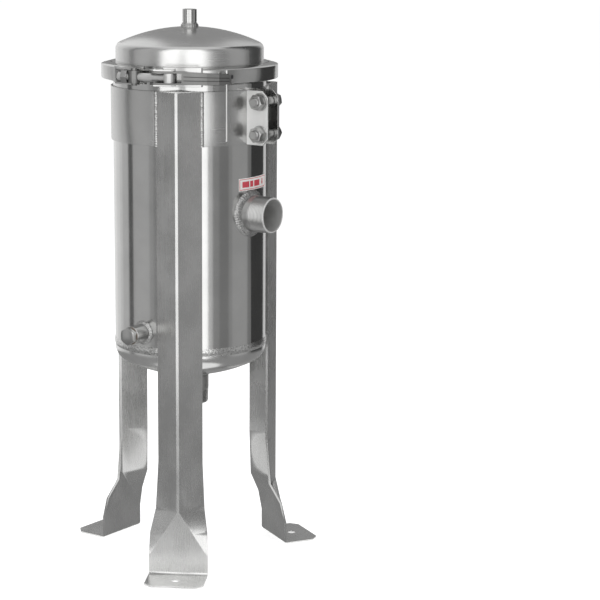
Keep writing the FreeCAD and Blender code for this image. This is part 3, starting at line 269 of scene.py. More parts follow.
@dataclass(frozen=True)
class SteelFinish(Finish):
    """A stainless surface: grade 304, bare metal, whose look comes only from how it was rolled or rubbed.

    The metal keeps the default IOR. It is fully metallic, apart from a bore, a rim, one ear and the swing
    rod: those are partly diffuse, so that the lamps light them where the tent has nothing bright to mirror.
    Rolled 2B sheet is cloudy and soft, a rubbed surface has fine lines, and a buffed one is nearly a mirror.
    """

    roughness: float
    roughness_swing: float
    grain: Grain
    grain_mm: float
    grain_depth_mm: float
    cloud_mm: float = 60.0
    anisotropy: float = 0.0
    metallic: float = 1.0

    def grain_scale(self) -> tuple[float, float, float]:
        """Grains per metre along X, Y and Z."""
        across = 1000 / self.grain_mm
        along = across / GRAIN_STRETCH
        if self.grain is Grain.AROUND:
            return along, along, across
        if self.grain is Grain.UPRIGHT:
            return across, across, along
        return across, across, across

    def wire(self, tree: bpy.types.NodeTree, shader: bpy.types.Node) -> None:
        """Cloud the colour, and let clouds and grain together vary the roughness.

        Args:
            tree: The material's node tree.
            shader: The material's shader.
        """
        clouds = noise_at(tree, [1000 / self.cloud_mm] * 3, detail=3.0)
        grain = noise_at(tree, self.grain_scale(), detail=3.0)
        colour = two_colours(tree, spread(tree, clouds, 0.0, 1.0, 0.35, 0.65), self.dark_colour, self.colour)
        both = add_node(tree, "ShaderNodeMath", {0: clouds, 1: grain}, operation="ADD")
        rough = spread(tree, both.outputs["Value"], self.roughness - self.roughness_swing,
                       self.roughness + self.roughness_swing, 0.6, 1.4)
        self.link(tree, shader, colour, rough, grain, self.grain_depth_mm)
        shader.inputs["Metallic"].default_value = self.metallic
        shader.inputs["Anisotropic"].default_value = self.anisotropy
        if self.anisotropy:
            tangent = add_node(tree, "ShaderNodeTangent", direction_type="RADIAL", axis="Z")
            tree.links.new(tangent.outputs["Tangent"], shader.inputs["Tangent"])


@dataclass(frozen=True)
class WeldFinish(Finish):
    """A brushed and pickled weld bead: dull grey metal, pitted and lumpy. Its colour follows the lumps:
    darker in the pits, partly the dull pickled metal and partly painted shade, and paler on the high spots,
    partly brushed metal and partly painted highlight.
    """

    roughness: float
    lump_mm: float
    depth_mm: float

    def wire(self, tree: bpy.types.NodeTree, shader: bpy.types.Node) -> None:
        """Let one noise make the lumps, paint shade into the pits and a highlight on the high spots, and
        dull the pits.

        Args:
            tree: The material's node tree.
            shader: The material's shader.
        """
        lumps = noise_at(tree, [1000 / self.lump_mm] * 3, detail=4.0)
        colour = two_colours(tree, spread(tree, lumps, 0.0, 1.0, 0.3, 0.6), self.dark_colour, self.colour)
        rough = spread(tree, lumps, self.roughness + 0.12, self.roughness - 0.08)
        self.link(tree, shader, colour, rough, lumps, self.depth_mm)
        shader.inputs["Metallic"].default_value = 1.0


@dataclass(frozen=True)
class MouldedFinish(Finish):
    """A moulded skin that is not metal: broad patches of a second colour over the mould's fine texture."""

    roughness: float
    patches_per_metre: float
    patch_detail: float
    patch_start: float
    rough_less: float
    rough_more: float
    skin_per_metre: float
    skin_depth_mm: float
    ior: float

    def wire(self, tree: bpy.types.NodeTree, shader: bpy.types.Node) -> None:
        """Let one noise vary colour and roughness, and a finer one make the skin.

        Args:
            tree: The material's node tree.
            shader: The material's shader.
        """
        patches = noise_at(tree, [self.patches_per_metre] * 3, detail=self.patch_detail)
        skin = noise_at(tree, [self.skin_per_metre] * 3, detail=1.0)
        colour = two_colours(tree, spread(tree, patches, 0.0, 1.0, self.patch_start, 0.8), self.colour,
                             self.dark_colour)
        rough = spread(tree, patches, self.roughness - self.rough_less, self.roughness + self.rough_more)
        self.link(tree, shader, colour, rough, skin, self.skin_depth_mm)
        shader.inputs["IOR"].default_value = self.ior


@dataclass(frozen=True)
class RubberFinish(MouldedFinish):
    """Moulded black nitrile rubber: matt, with a faint bloom and the fine skin of the mould."""

    patches_per_metre: float = 90.0
    patch_detail: float = 4.0
    patch_start: float = 0.45
    rough_less: float = 0.06
    rough_more: float = 0.08
    skin_per_metre: float = 1600.0
    skin_depth_mm: float = 0.06
    ior: float = 1.52


@dataclass(frozen=True)
class PlasticFinish(MouldedFinish):
    """Moulded or printed plastic: even colour with a faint flow texture and a soft gloss."""

    patches_per_metre: float = 60.0
    patch_detail: float = 3.0
    patch_start: float = 0.4
    rough_less: float = 0.05
    rough_more: float = 0.05
    skin_per_metre: float = 900.0
    skin_depth_mm: float = 0.02
    ior: float = 1.49


@dataclass(frozen=True)
class WoundFibreFinish(Finish):
    """String-wound polypropylene: soft white yarn in crossing turns, so its skin is a lattice of ridges.

    One radian of the lattice's wave takes radian_mm.
    """

    radian_mm: float
    lean_deg: float = 32.0
    ridge_mm: float = 0.6

    def wire(self, tree: bpy.types.NodeTree, shader: bpy.types.Node) -> None:
        """Lay two leaning waves over each other, with the darker colour in the hollows as painted shade.

        Args:
            tree: The material's node tree.
            shader: The material's shader.
        """
        place = add_node(tree, "ShaderNodeTexCoord")
        waves = []
        for lean in (math.radians(self.lean_deg), -math.radians(self.lean_deg)):
            leaned = add_node(tree, "ShaderNodeMapping", {"Vector": place.outputs["Object"],
                                                          "Rotation": (lean, lean, 0.0)})
            wave = add_node(tree, "ShaderNodeTexWave", {
                "Vector": leaned.outputs["Vector"], "Scale": 1000 / self.radian_mm / WAVE_PHASE,
                "Distortion": 0.6, "Detail": 1.0}, bands_direction="Z")
            waves.append(wave.outputs["Fac"])
        yarn = add_node(tree, "ShaderNodeMath", {0: waves[0], 1: waves[1]}, operation="MAXIMUM")
        colour = two_colours(tree, yarn.outputs["Value"], self.dark_colour, self.colour)
        rough = spread(tree, yarn.outputs["Value"], 0.95, 0.8, 0.0, 1.0)
        self.link(tree, shader, colour, rough, yarn.outputs["Value"], self.ridge_mm)
        shader.inputs["Sheen Weight"].default_value = 0.3


# The buffed tube of the shell mirrors the room in upright streaks. Its rubbing lines run around the tube.
# They are drawn 1.6 mm apart, coarser than the real ones, so that they show.
SHELL_TUBE = SteelFinish("stainless_tube_buffed", "#CBCBCA", "#C2C2C1", 0.12, 0.03, Grain.AROUND, 1.6, 0.012,
                         anisotropy=0.2)
# The spun lid is satin: rubbed round and round, so that light stretches across it.
LID_SATIN = SteelFinish("stainless_spun_satin", "#D8D8D7", "#D0D0CF", 0.25, 0.03, Grain.AROUND, 1.0, 0.0012,
                        anisotropy=0.25)
# The collar's sheet was linished along its length, so its lines lie level.
COLLAR_SHEET = SteelFinish("stainless_linished", "#CCCCCB", "#C4C4C3", 0.25, 0.03, Grain.AROUND, 1.4, 0.0018,
                           anisotropy=0.25)
# The front ear's flat face is a bright plate in the photograph, brighter than the tent's panels make it, so
# its finish is paler than the collar's and partly diffuse: the paler colour is a painted highlight on the
# same sheet.
EAR_SHEET = SteelFinish("stainless_rubbed_flat", "#F0F0EF", "#E6E6E5", 0.32, 0.04, Grain.UPRIGHT, 1.2, 0.002,
                        metallic=0.5)
# Cold-rolled 2B sheet of the legs: cloudy and even, with a faint grain along the fold.
LEG_SHEET = SteelFinish("stainless_rolled_2b", "#D7D7D6", "#C8C8C7", 0.27, 0.05, Grain.UPRIGHT, 1.6, 0.003)
# The pressed clamp ring and the latch were buffed after forming.
BUFFED = SteelFinish("stainless_buffed", "#C9C9C8", "#B9B9B8", 0.16, 0.05, Grain.AROUND, 2.0, 0.003)
# The lever is a satin pressing, duller than the ring that it lies against; its dark grey colour is painted
# shade.
LEVER_SATIN = SteelFinish("stainless_lever_satin", "#868685", "#717170", 0.36, 0.06, Grain.AROUND, 1.1,
                          0.02)
# The two lines pressed along the lever are coloured dark: painted shade in their grooves.
LEVER_GROOVE = SteelFinish("stainless_lever_groove", "#50504F", "#414140", 0.45, 0.06, Grain.AROUND, 1.1,
                           0.01)
# The swing rod is drawn bar: its pale colour is painted light, and it is partly diffuse, so that it stands
# out from the ring.
DRAWN_BAR = SteelFinish("stainless_drawn_bar", "#D6D6D5", "#C4C4C3", 0.32, 0.05, Grain.NONE, 1.2, 0.006,
                        metallic=0.6)
# The dished bottom was pressed and left as it came, so it is cloudier than the tube.
PRESSED_HEAD = SteelFinish("stainless_pressed", "#E2E2E1", "#D2D2D1", 0.22, 0.05, Grain.NONE, 2.2, 0.006)
# Pipe nipples are drawn tube, pickled to an even dull grey.
PIPE = SteelFinish("stainless_pickled_pipe", "#BDBDBC", "#A9A9A8", 0.33, 0.05, Grain.NONE, 0.9, 0.008)
# Inside, the pipe is matt and grey. It is mostly diffuse, so that the lamps light the bore.
PIPE_BORE = SteelFinish("stainless_pickled_bore", "#C4C4C3", "#A8A8A7", 0.5, 0.06, Grain.NONE, 1.4, 0.02,
                        metallic=0.2)
# Its rim is coloured bright, a painted highlight round the mouth, and is partly diffuse, so that it stands
# out against the bore.
PIPE_RIM = SteelFinish("stainless_filed_rim", "#E2E2E1", "#D0D0CF", 0.4, 0.05, Grain.NONE, 1.0, 0.01,
                       metallic=0.4)
# Cold-headed fasteners, tumbled bright: small, with soft reflections.
FASTENER = SteelFinish("stainless_tumbled", "#C9C9C8", "#ADADAC", 0.24, 0.07, Grain.NONE, 0.8, 0.01)
# The collar's bolts, nuts and washers are duller than the sheet: cold-headed and left unpolished.
BOLT = SteelFinish("stainless_cold_headed", "#BEBEBD", "#9C9C9B", 0.34, 0.07, Grain.NONE, 0.9, 0.012)
# Plates inside the vessel, laser-cut from 2B sheet.
INNER_PLATE = SteelFinish("stainless_laser_cut", "#BCBCBB", "#A8A8A7", 0.33, 0.05, Grain.UPRIGHT, 1.6, 0.01)
# The beads at the pipes are brushed and pickled: their scales stand out bright against grey pits, partly as
# painted highlight and painted shade.
WELD = WeldFinish("weld_pickled", "#C8C8C7", "#646463", 0.4, 1.2, 0.5)
# The beads at the legs were brushed harder, so they are lighter and smoother.
COLLAR_WELD = WeldFinish("weld_brushed", "#CFCFCE", "#7E7E7D", 0.36, 1.5, 0.4)
# The seam over the bottom was ground nearly flush, so its high spots are bright, with a painted highlight on
# them.
SEAM_WELD = WeldFinish("weld_ground", "#E4E4E3", "#9A9A99", 0.26, 2.4, 0.25)
# Brown thread sealant, squeezed out where the drain plug was turned in: a dull resin that has set hard.
SEALANT = PlasticFinish("thread_sealant_brown", "#75685C", "#5C5148", 0.5)
# Black nitrile rubber of the flange gasket and the cartridges' seals.
NITRILE = RubberFinish("nitrile_moulded", "#1D1D1E", "#39393A", 0.62)
# Polypropylene yarn wound on a core: a soft white lattice, with painted shade in its hollows.
YARN = WoundFibreFinish("polypropylene_wound", "#F0EEE7", "#C9C5BA", 3.0)
# The core inside the yarn is moulded polypropylene, slightly waxy.
CORE = PlasticFinish("polypropylene_moulded", "#E9E7E0", "#DAD7CC", 0.42)
# Vinyl tape has an even gloss, and its print is a flat red ink.
TAPE = PlasticFinish("vinyl_tape_white", "#EEECEA", "#E2DFDB", 0.38)
TAPE_PRINT = PlasticFinish("vinyl_print_red", "#D04A57", "#C4404E", 0.4)


# Modelling by hand tools


def deselect() -> None:
    """Leave edit mode, and leave nothing selected."""
    if bpy.context.object and bpy.context.object.mode != "OBJECT":
        bpy.ops.object.mode_set(mode="OBJECT")
    bpy.ops.object.select_all(action="DESELECT")


def named(name: str) -> bpy.types.Object:
    """Name the piece that an operator has just added.

    Args:
        name: The name of the object and of its mesh.

    Returns:
        The piece.
    """
    piece = bpy.context.active_object
    piece.name = name
    piece.data.name = name
    return piece


def activate(piece: bpy.types.Object) -> None:
    """Select one piece alone and make it the active one.

    Args:
        piece: The piece.
    """
    deselect()
    piece.select_set(True)
    bpy.context.view_layer.objects.active = piece


def apply_modifier(piece: bpy.types.Object, kind: str, **settings: object) -> None:
    """Add a modifier with its settings and apply it.

    Args:
        piece: The mesh.
        kind: Blender's name of the modifier.
        settings: The modifier's attributes.
    """
    activate(piece)
    modifier = piece.modifiers.new(kind.title(), kind)
    for name, setting in settings.items():
        setattr(modifier, name, setting)
    bpy.ops.object.modifier_apply(modifier=modifier.name)


def lone_vertex(name: str, place: Sequence[float]) -> bpy.types.Object:
    """Add a piece of one vertex, and stay in edit mode with it selected.

    Args:
        name: The piece's name.
        place: Where the vertex is, in metres.

    Returns:
        The piece.
    """
    deselect()
    bpy.ops.mesh.primitive_plane_add(size=MM, location=place)
    piece = named(name)
    bpy.ops.object.transform_apply(location=True, rotation=True, scale=True)
    bpy.ops.object.mode_set(mode="EDIT")
    bpy.ops.mesh.select_mode(type="VERT")
    bpy.ops.mesh.select_all(action="SELECT")
    bpy.ops.mesh.merge(type="CENTER")
    return piece


def lathe(name: str, profile: Sequence[Point], steps: int = 48) -> bpy.types.Object:
    """Turn a profile about the Z axis.

    The profile is drawn by extruding one vertex from point to point, and then spun. A profile that starts
    and ends on the axis, or at its own start, gives a closed piece.

    Args:
        name: The piece's name.
        profile: Radius and height of each point, in millimetres.
        steps: How many facets go round.

    Returns:
        The turned piece.
    """
    piece = lone_vertex(name, (profile[0][0] * MM, 0.0, profile[0][1] * MM))
    for (radius, height), (next_radius, next_height) in zip(profile, profile[1:]):
        shift = ((next_radius - radius) * MM, 0.0, (next_height - height) * MM)
        bpy.ops.mesh.extrude_region_move(TRANSFORM_OT_translate={"value": shift})
    bpy.ops.mesh.select_all(action="SELECT")
    bpy.ops.mesh.spin(steps=steps, angle=math.tau, center=(0, 0, 0), axis=(0, 0, 1))
    tidy_skin(piece)
    return piece


def tidy_skin(piece: bpy.types.Object, gap_mm: float = 0.002) -> None:
    """Merge doubled vertices and turn every face outwards.

    Args:
        piece: The mesh.
        gap_mm: How far apart two vertices may be to count as one.
    """
    activate(piece)
    bpy.ops.object.mode_set(mode="EDIT")
    bpy.ops.mesh.select_all(action="SELECT")
    bpy.ops.mesh.remove_doubles(threshold=gap_mm * MM)
    bpy.ops.mesh.normals_make_consistent(inside=False)
    bpy.ops.object.mode_set(mode="OBJECT")


def lay(piece: bpy.types.Object, axis: Axis, place_mm: Sequence[float], spin_deg: float = 0.0) -> None:
    """Lay an upright piece along an axis and set it in place, with the place in its mesh.

    Args:
        piece: The piece, made about the Z axis.
        axis: Where its Z axis goes.
        place_mm: Where its origin goes, in millimetres.
        spin_deg: A turn about its own axis first.
    """
    turn = Vector(axis.value).to_track_quat("Z", "Y").to_matrix().to_4x4()
    spin = Matrix.Rotation(math.radians(spin_deg), 4, "Z")
    piece.matrix_world = Matrix.Translation(Vector(place_mm) * MM) @ turn @ spin
    activate(piece)
    bpy.ops.object.transform_apply(location=True, rotation=True, scale=True)


def hexagon(name: str, flats: float, low: float, high: float, chamfer_low: bool = False,
            bore: float = 0.0) -> bpy.types.Object:
    """A hexagon whose corners are turned off in a cone, as on a nut or a bolt head.

    Args:
        name: The piece's name.
        flats: Width across flats, in millimetres.
        low: Height of its lower face.
        high: Height of its upper face.
        chamfer_low: Whether the lower corners are turned off too.
        bore: Diameter of a hole through it, or 0.

    Returns:
        The hexagon, about the Z axis.
    """
    corner = flats / math.sqrt(3)
    deselect()
    bpy.ops.mesh.primitive_cylinder_add(vertices=6, radius=corner * MM, depth=(high - low) * MM,
                                        location=(0, 0, (high + low) / 2 * MM))
    piece = named(name)
    bpy.ops.object.transform_apply(location=True, rotation=True, scale=True)
    land = flats / 2 * HEX_LAND
    outside = corner + 0.6
    drop = (outside - land) * math.tan(math.radians(HEX_CONE_DEG))
    foot = [(0.0, low - 1), (outside, low - 1)]
    if chamfer_low:
        foot = [(0.0, low), (land, low), (outside, low + drop)]
    turned = lathe(f"{name}_cone", foot + [(outside, high - drop), (land, high), (0.0, high)], 64)
    apply_modifier(piece, "BOOLEAN", operation="INTERSECT", solver="EXACT", object=turned)
    bpy.data.objects.remove(turned)
    if bore:
        drill = lathe(f"{name}_drill", [(0.0, low - 1), (bore / 2, low - 1), (bore / 2, high + 1),
                                        (0.0, high + 1)])
        apply_modifier(piece, "BOOLEAN", operation="DIFFERENCE", solver="EXACT", object=drill)
        bpy.data.objects.remove(drill)
    apply_modifier(piece, "BEVEL", width=HEX_BREAK_MM * MM, segments=1, limit_method="ANGLE",
                   angle_limit=math.radians(40))
    return piece


def threaded_profile(radius: float, low: float, high: float, pitch: float, rows: int = 6) -> list[Point]:
    """Points of a straight flank, close enough together for a thread to be cut in it.

    Args:
        radius: The flank's radius, in millimetres.
        low: Where it starts.
        high: Where it ends.
        pitch: Height of one turn of the thread.
        rows: Points in one turn.

    Returns:
        Radius and height of each point.
    """
    count = max(1, round((high - low) / pitch * rows))
    return [(radius, low + (high - low) * step / count) for step in range(count + 1)]


def cut_thread(piece: bpy.types.Object, radius: float, low: float, high: float, pitch: float, depth: float,
               taper: float = 0.0) -> None:
    """Cut a right-hand V thread into an upright piece's outer flank.

    Args:
        piece: A turned piece with the rows that threaded_profile gives.
        radius: The flank's radius, in millimetres.
        low: Where the thread starts.
        high: Where it ends.
        pitch: Height of one turn.
        depth: From crest to root.
        taper: How much the radius falls from the run-out to the high end.
    """
    for vertex in piece.data.vertices:
        height = vertex.co.z / MM
        reach = math.hypot(vertex.co.x, vertex.co.y) / MM
        if abs(reach - radius) > 0.02 or not low - 0.01 <= height <= high + 0.01:
            continue
        turn = math.atan2(vertex.co.y, vertex.co.x) / math.tau
        phase = (height / pitch - turn) % 1.0
        fade = min(1.0, (height - low) / pitch, (high - height) / (0.5 * pitch) + 0.6)
        cut = depth * abs(2 * phase - 1) * max(0.0, fade) + taper * (height - low) / (high - low)
        factor = (radius - cut) / reach
        vertex.co.x *= factor
        vertex.co.y *= factor


def ripple(piece: bpy.types.Object, centre: Point, count: int, depth: float, seed: int) -> None:
    """Give a turned weld bead the overlapping scales of its passes.

    Args:
        piece: The bead, about the Z axis.
        centre: Radius and height of the bead's root, which stays still.
        count: Scales in one turn.
        depth: Height of a scale, in millimetres.
        seed: Start of the uneven spacing.
    """
    uneven = random.Random(seed)
    lean = [uneven.uniform(0.6, 1.3) for _ in range(count)]
    for vertex in piece.data.vertices:
        reach = math.hypot(vertex.co.x, vertex.co.y) / MM
        height = vertex.co.z / MM
        turn = (math.atan2(vertex.co.y, vertex.co.x) / math.tau) % 1.0
        scale = turn * count
        crest = abs(math.sin(math.pi * (scale % 1.0)))
        grow = depth * lean[int(scale) % count] * (crest - 0.5)
        away = Vector((reach - centre[0], height - centre[1]))
        if away.length < 0.3:
            continue
        push = away.normalized() * grow
        factor = (reach + push.x) / reach
        vertex.co.x *= factor
        vertex.co.y *= factor
        vertex.co.z += push.y * MM


def joined(name: str, pieces: Sequence[bpy.types.Object]) -> bpy.types.Object:
    """Join finished pieces into one object.

    Args:
        name: The name of the whole.
        pieces: The pieces, of which the first is kept.

    Returns:
        The whole.
    """
    deselect()
    for piece in pieces:
        piece.select_set(True)
    bpy.context.view_layer.objects.active = pieces[0]
    if len(pieces) > 1:
        bpy.ops.object.join()
    return named(name)


def finished(piece: bpy.types.Object, finish: Finish, body: str,
             stands_for: Sequence[str] = (), smooth_deg: float = 35.0) -> bpy.types.Object:
    """Smooth a new piece, give it its finish and set it on its body.

    Args:
        piece: The mesh, in place.
        finish: The finish that it gets.
        body: The body that it moves with.
        stands_for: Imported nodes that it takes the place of.
        smooth_deg: Edges sharper than this stay sharp.

    Returns:
        The same piece.
    """
    activate(piece)
    bpy.ops.object.shade_smooth_by_angle(angle=math.radians(smooth_deg))
    piece.data.materials.clear()
    piece.data.materials.append(finish.material())
    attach(piece, body)
    if stands_for:
        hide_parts(*stands_for)
    log.info("%s: %d faces on %s", piece.name, len(piece.data.polygons), body)
    return piece


def line_bore(piece: bpy.types.Object, axis: Axis, foot_mm: Sequence[float], bore_mm: float,
              length_mm: float) -> None:
    """Give the bore its own finish, and the rim of a pipe's mouth a painted highlight.

    Args:
        piece: The pipe, in place, with its outer finish.
        axis: Where its mouth points.
        foot_mm: The centre of its foot, in millimetres.
        bore_mm: Faces nearer to the axis than this belong to the bore.
        length_mm: From foot to mouth.
    """
    for finish in (PIPE_BORE, PIPE_RIM):
        piece.data.materials.append(finish.material())
    direction = Vector(axis.value)
    for face in piece.data.polygons:
        away = (face.center - Vector(foot_mm) * MM) / MM
        along = away.dot(direction)
        if (away - direction * along).length < bore_mm:
            face.material_index = 1
        if along > length_mm - RIM_MM:
            face.material_index = 2


def heights(node: str) -> tuple[float, float]:
    """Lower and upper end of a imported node, in millimetres."""
    low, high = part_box(node)
    return low.z / MM, high.z / MM


def dress(node: str, finish: Finish, edge_mm: float = 0.0) -> None:
    """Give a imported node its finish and, where its edges are seen, a small worn radius.

    Args:
        node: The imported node.
        finish: The finish that it gets.
        edge_mm: Radius of its edges, or 0 to leave them.
    """
    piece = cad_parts[node]
    for place in piece.material_slots:
        place.material = finish.material()
    if edge_mm:
        weld = piece.modifiers.new("Weld", "WELD")
        weld.merge_threshold = 0.004 * MM
        bevel = piece.modifiers.new("Bevel", "BEVEL")
        bevel.width = edge_mm * MM
        bevel.segments = 2
        bevel.limit_method = "ANGLE"
        bevel.angle_limit = math.radians(50)
        bevel.harden_normals = False
    log.info("%s dressed in %s", node, finish.name)


# Sub-assemblies


@dataclass
class Vessel:
    """The shell with its dished bottom and the seam between them."""

    nodes: dict[str, Finish] = field(default_factory=lambda: {
        "vessel_shell": SHELL_TUBE, "bottom_head": PRESSED_HEAD, "bottom_seam": SEAM_WELD})

    def build(self) -> None:
        """Dress the shell, the bottom and the seam."""
        for node, finish in self.nodes.items():
            dress(node, finish)


@dataclass
class Nipples:
    """The threaded pipe nipples of the inlet and the outlet, with the weld beads at their feet."""

    pipe: float = 48.26
    wall: float = 3.0
    inlet_height: float = 477.0
    inlet_foot: float = 98.6
    inlet_mouth: float = 137.0
    inlet_neck: float = 106.0
    inlet_thread: float = 112.5
    outlet_top: float = 262.0
    outlet_mouth: float = 209.0
    outlet_neck: float = 246.0
    outlet_thread: float = 229.0
    neck_step: float = 0.5
    pitch: float = 2.21
    thread_depth: float = 0.95
    taper: float = 0.55
    shell_radius: float = 101.6

    def nipple(self, name: str, length: float, neck: float, thread_start: float) -> bpy.types.Object:
        """One nipple, upright, with its thread at the top end.

        Args:
            name: The piece's name.
            length: From foot to mouth.
            neck: Height up to which it is turned down for its bead.
            thread_start: Height where the thread starts.

        Returns:
            The nipple about the Z axis, its foot at 0.
        """
        radius = self.pipe / 2
        bore = radius - self.wall
        flank = threaded_profile(radius, thread_start, length - 1.0, self.pitch)
        turned = radius - self.neck_step
        profile = [(bore, 0.0), (turned, 0.0), (turned, neck), (radius, neck + 0.2)] + flank
        profile += [(radius - 1.7, length), (bore + 0.4, length), (bore, length - 0.5), (bore, 0.0)]
        piece = lathe(name, profile, 72)
        cut_thread(piece, radius, thread_start, length - 1.0, self.pitch, self.thread_depth, self.taper)
        return piece

    def inlet_bead(self) -> bpy.types.Object:
        """The bead round the inlet, rippled and laid over the round shell."""
        radius = self.pipe / 2
        profile = [(radius - 0.8, -1.2), (30.7, -1.2), (30.9, 0.3), (29.9, 1.9), (28.0, 3.0), (26.4, 3.5),
                   (24.9, 3.9), (radius - 0.8, 4.2), (radius - 0.8, -1.2)]
        piece = lathe("inlet_bead", profile, 216)
        ripple(piece, (radius, 0.0), count=54, depth=0.7, seed=3)
        lay(piece, Axis.INLET, (0.0, 0.0, self.inlet_height))
        for vertex in piece.data.vertices:
            across = vertex.co.y / MM
            vertex.co.x += math.sqrt(self.shell_radius ** 2 - across ** 2) * MM
        return piece

    def outlet_bead(self) -> bpy.types.Object:
        """The bead where the outlet leaves the dished bottom."""
        radius = self.pipe / 2
        low, high = heights("outlet_weld")
        profile = [(radius - 0.8, low), (radius + 1.8, low + 0.3), (radius + 4.2, low + 1.7),
                   (radius + 6.4, high - 0.4), (radius + 6.4, high + 0.4), (radius - 0.8, high - 0.2),
                   (radius - 0.8, low)]
        piece = lathe("outlet_bead", profile, 180)
        ripple(piece, (radius, high), count=45, depth=0.45, seed=5)
        return piece

    def build(self) -> None:
        """Make both nipples and their beads."""
        inlet = self.nipple("inlet_pipe", self.inlet_mouth - self.inlet_foot,
                            self.inlet_neck - self.inlet_foot, self.inlet_thread - self.inlet_foot)
        lay(inlet, Axis.INLET, (self.inlet_foot, 0.0, self.inlet_height))
        finished(inlet, PIPE, "vessel", ["inlet_nipple"])
        bore = self.pipe / 2 - self.wall + 0.3
        line_bore(inlet, Axis.INLET, (self.inlet_foot, 0.0, self.inlet_height), bore,
                  self.inlet_mouth - self.inlet_foot)
        outlet = self.nipple("outlet_pipe", self.outlet_top - self.outlet_mouth,
                             self.outlet_top - self.outlet_neck, self.outlet_top - self.outlet_thread)
        lay(outlet, Axis.DOWN, (0.0, 0.0, self.outlet_top))
        finished(outlet, PIPE, "vessel", ["outlet_nipple"])
        line_bore(outlet, Axis.DOWN, (0.0, 0.0, self.outlet_top), bore,
                  self.outlet_top - self.outlet_mouth)
        finished(self.inlet_bead(), WELD, "vessel", ["inlet_weld"], 50.0)
        finished(self.outlet_bead(), WELD, "vessel", ["outlet_weld"], 50.0)


@dataclass
class Drain:
    """The drain boss, its bead and the hexagon plug with the sealant round its shank."""

    height: float = 321.0
    boss: float = 24.0
    bore: float = 16.7
    foot: float = 98.6
    reach: float = 126.5
    gap: float = 0.6
    flats: float = 21.0
    head: float = 8.0
    shank: float = 12.0
    pitch: float = 1.34
    thread_depth: float = 0.7
    shell_radius: float = 101.6

    def bead(self) -> bpy.types.Object:
        """The bead round the boss, laid over the round shell."""
        radius = self.boss / 2
        profile = [(radius - 0.3, -0.6), (15.8, -0.6), (15.9, 0.5), (15.0, 1.7), (13.4, 2.6),
                   (radius - 0.3, 3.4), (radius - 0.3, -0.6)]
        piece = lathe("drain_bead", profile, 120)
        ripple(piece, (radius, 0.0), count=30, depth=0.35, seed=8)
        lay(piece, Axis.DRAIN, (0.0, 0.0, self.height))
        for vertex in piece.data.vertices:
            across = vertex.co.x / MM
            vertex.co.y -= math.sqrt(self.shell_radius ** 2 - across ** 2) * MM
        return piece

    def build(self) -> None:
        """Make the boss, the bead and the plug."""
        outer = self.boss / 2
        inner = self.bore / 2
        boss = lathe("drain_socket", [(inner, self.foot), (outer, self.foot), (outer, self.reach - 0.6),
                                      (outer - 0.6, self.reach), (inner + 0.8, self.reach),
                                      (inner, self.reach - 0.8), (inner, self.foot)], 64)
        lay(boss, Axis.DRAIN, (0.0, 0.0, self.height))
        finished(boss, PIPE, "vessel", ["drain_boss"])
        finished(self.bead(), WELD, "vessel", ["drain_weld"], 50.0)
        face = self.reach + self.gap
        radius = inner - 0.08
        flank = threaded_profile(radius, face - self.shank, face - 1.2, self.pitch)
        shank = lathe("plug_shank", [(0.0, face - self.shank - 0.6), (radius - 0.6, face - self.shank - 0.6)]
                      + flank + [(radius - 0.7, face - 0.8), (radius - 0.7, face), (0.0, face)], 48)
        cut_thread(shank, radius, face - self.shank, face - 1.2, self.pitch, self.thread_depth)
        head = hexagon("plug_head", self.flats, face, face + self.head)
        plug = joined("drain_plug_hex", [shank, head])
        lay(plug, Axis.DRAIN, (0.0, 0.0, self.height))
        finished(plug, FASTENER, "drain_plug", ["drain_plug"], 30.0)
        foot = self.reach + 0.05
        top = face + 1.3
        seal = lathe("plug_sealant", [(inner + 0.4, foot), (outer - 0.7, foot), (outer - 0.3, face),
                                      (outer - 0.6, face + 0.9), (outer - 1.7, top), (inner + 0.4, top),
                                      (inner + 0.4, foot)], 48)
        lay(seal, Axis.DRAIN, (0.0, 0.0, self.height))
        finished(seal, SEALANT, "drain_plug")


@dataclass
class Closure:
    """The flanges, gasket and domed lid with its vent."""

    vent: float = 19.05
    vent_bore: float = 15.75
    vent_top: float = 739.5
    neck_height: float = 9.0
    neck_step: float = 0.4
    weld_radius: float = 11.5

    def vent_bead(self) -> bpy.types.Object:
        """The rounded bead at the foot of the vent tube."""
        radius = self.vent / 2
        low, high = heights("vent_weld")
        edge = self.weld_radius
        profile = [(radius - 0.7, low - 0.4), (edge + 0.1, low - 0.4), (edge + 0.3, low + 1.1),
                   (edge - 0.3, low + 3.2), (edge - 1.6, high - 1.2), (radius + 0.2, high - 0.1),
                   (radius - 0.7, high - 0.1), (radius - 0.7, low - 0.4)]
        piece = lathe("vent_bead", profile, 120)
        ripple(piece, (radius, low), count=24, depth=0.3, seed=12)
        return piece

    def build(self) -> None:
        """Dress the closure, and make the vent tube with its bead."""
        dress("neck_flange", BUFFED)
        dress("lid_flange", BUFFED)
        dress("lid_gasket", NITRILE)
        dress("lid_head", LID_SATIN)
        foot = heights("vent_tube")[0]
        outer = self.vent / 2
        inner = self.vent_bore / 2
        turned = outer - self.neck_step
        neck = foot + self.neck_height
        tube = lathe("vent_pipe", [(inner, foot), (turned, foot), (turned, neck), (outer, neck + 0.2),
                                   (outer, self.vent_top - 0.4), (outer - 0.4, self.vent_top),
                                   (inner + 0.3, self.vent_top),
                                   (inner, self.vent_top - 0.3), (inner, foot)], 56)
        finished(tube, BUFFED, "lid", ["vent_tube"])
        finished(self.vent_bead(), WELD, "lid", ["vent_weld"], 50.0)


@dataclass
class ClampRing:
    """Both halves of the clamp ring, their rear hinge and the lug of the locking pin."""

    edge: float = 0.5

    def build(self) -> None:
        """Dress the ring's nodes."""
        for node in ("clamp_half_a", "clamp_half_b"):
            dress(node, BUFFED, self.edge)
        for node in ("hinge_leaf_a", "hinge_leaf_b", "lock_lug"):
            dress(node, BUFFED, 0.3)
        dress("clamp_hinge_pin", FASTENER, 0.3)


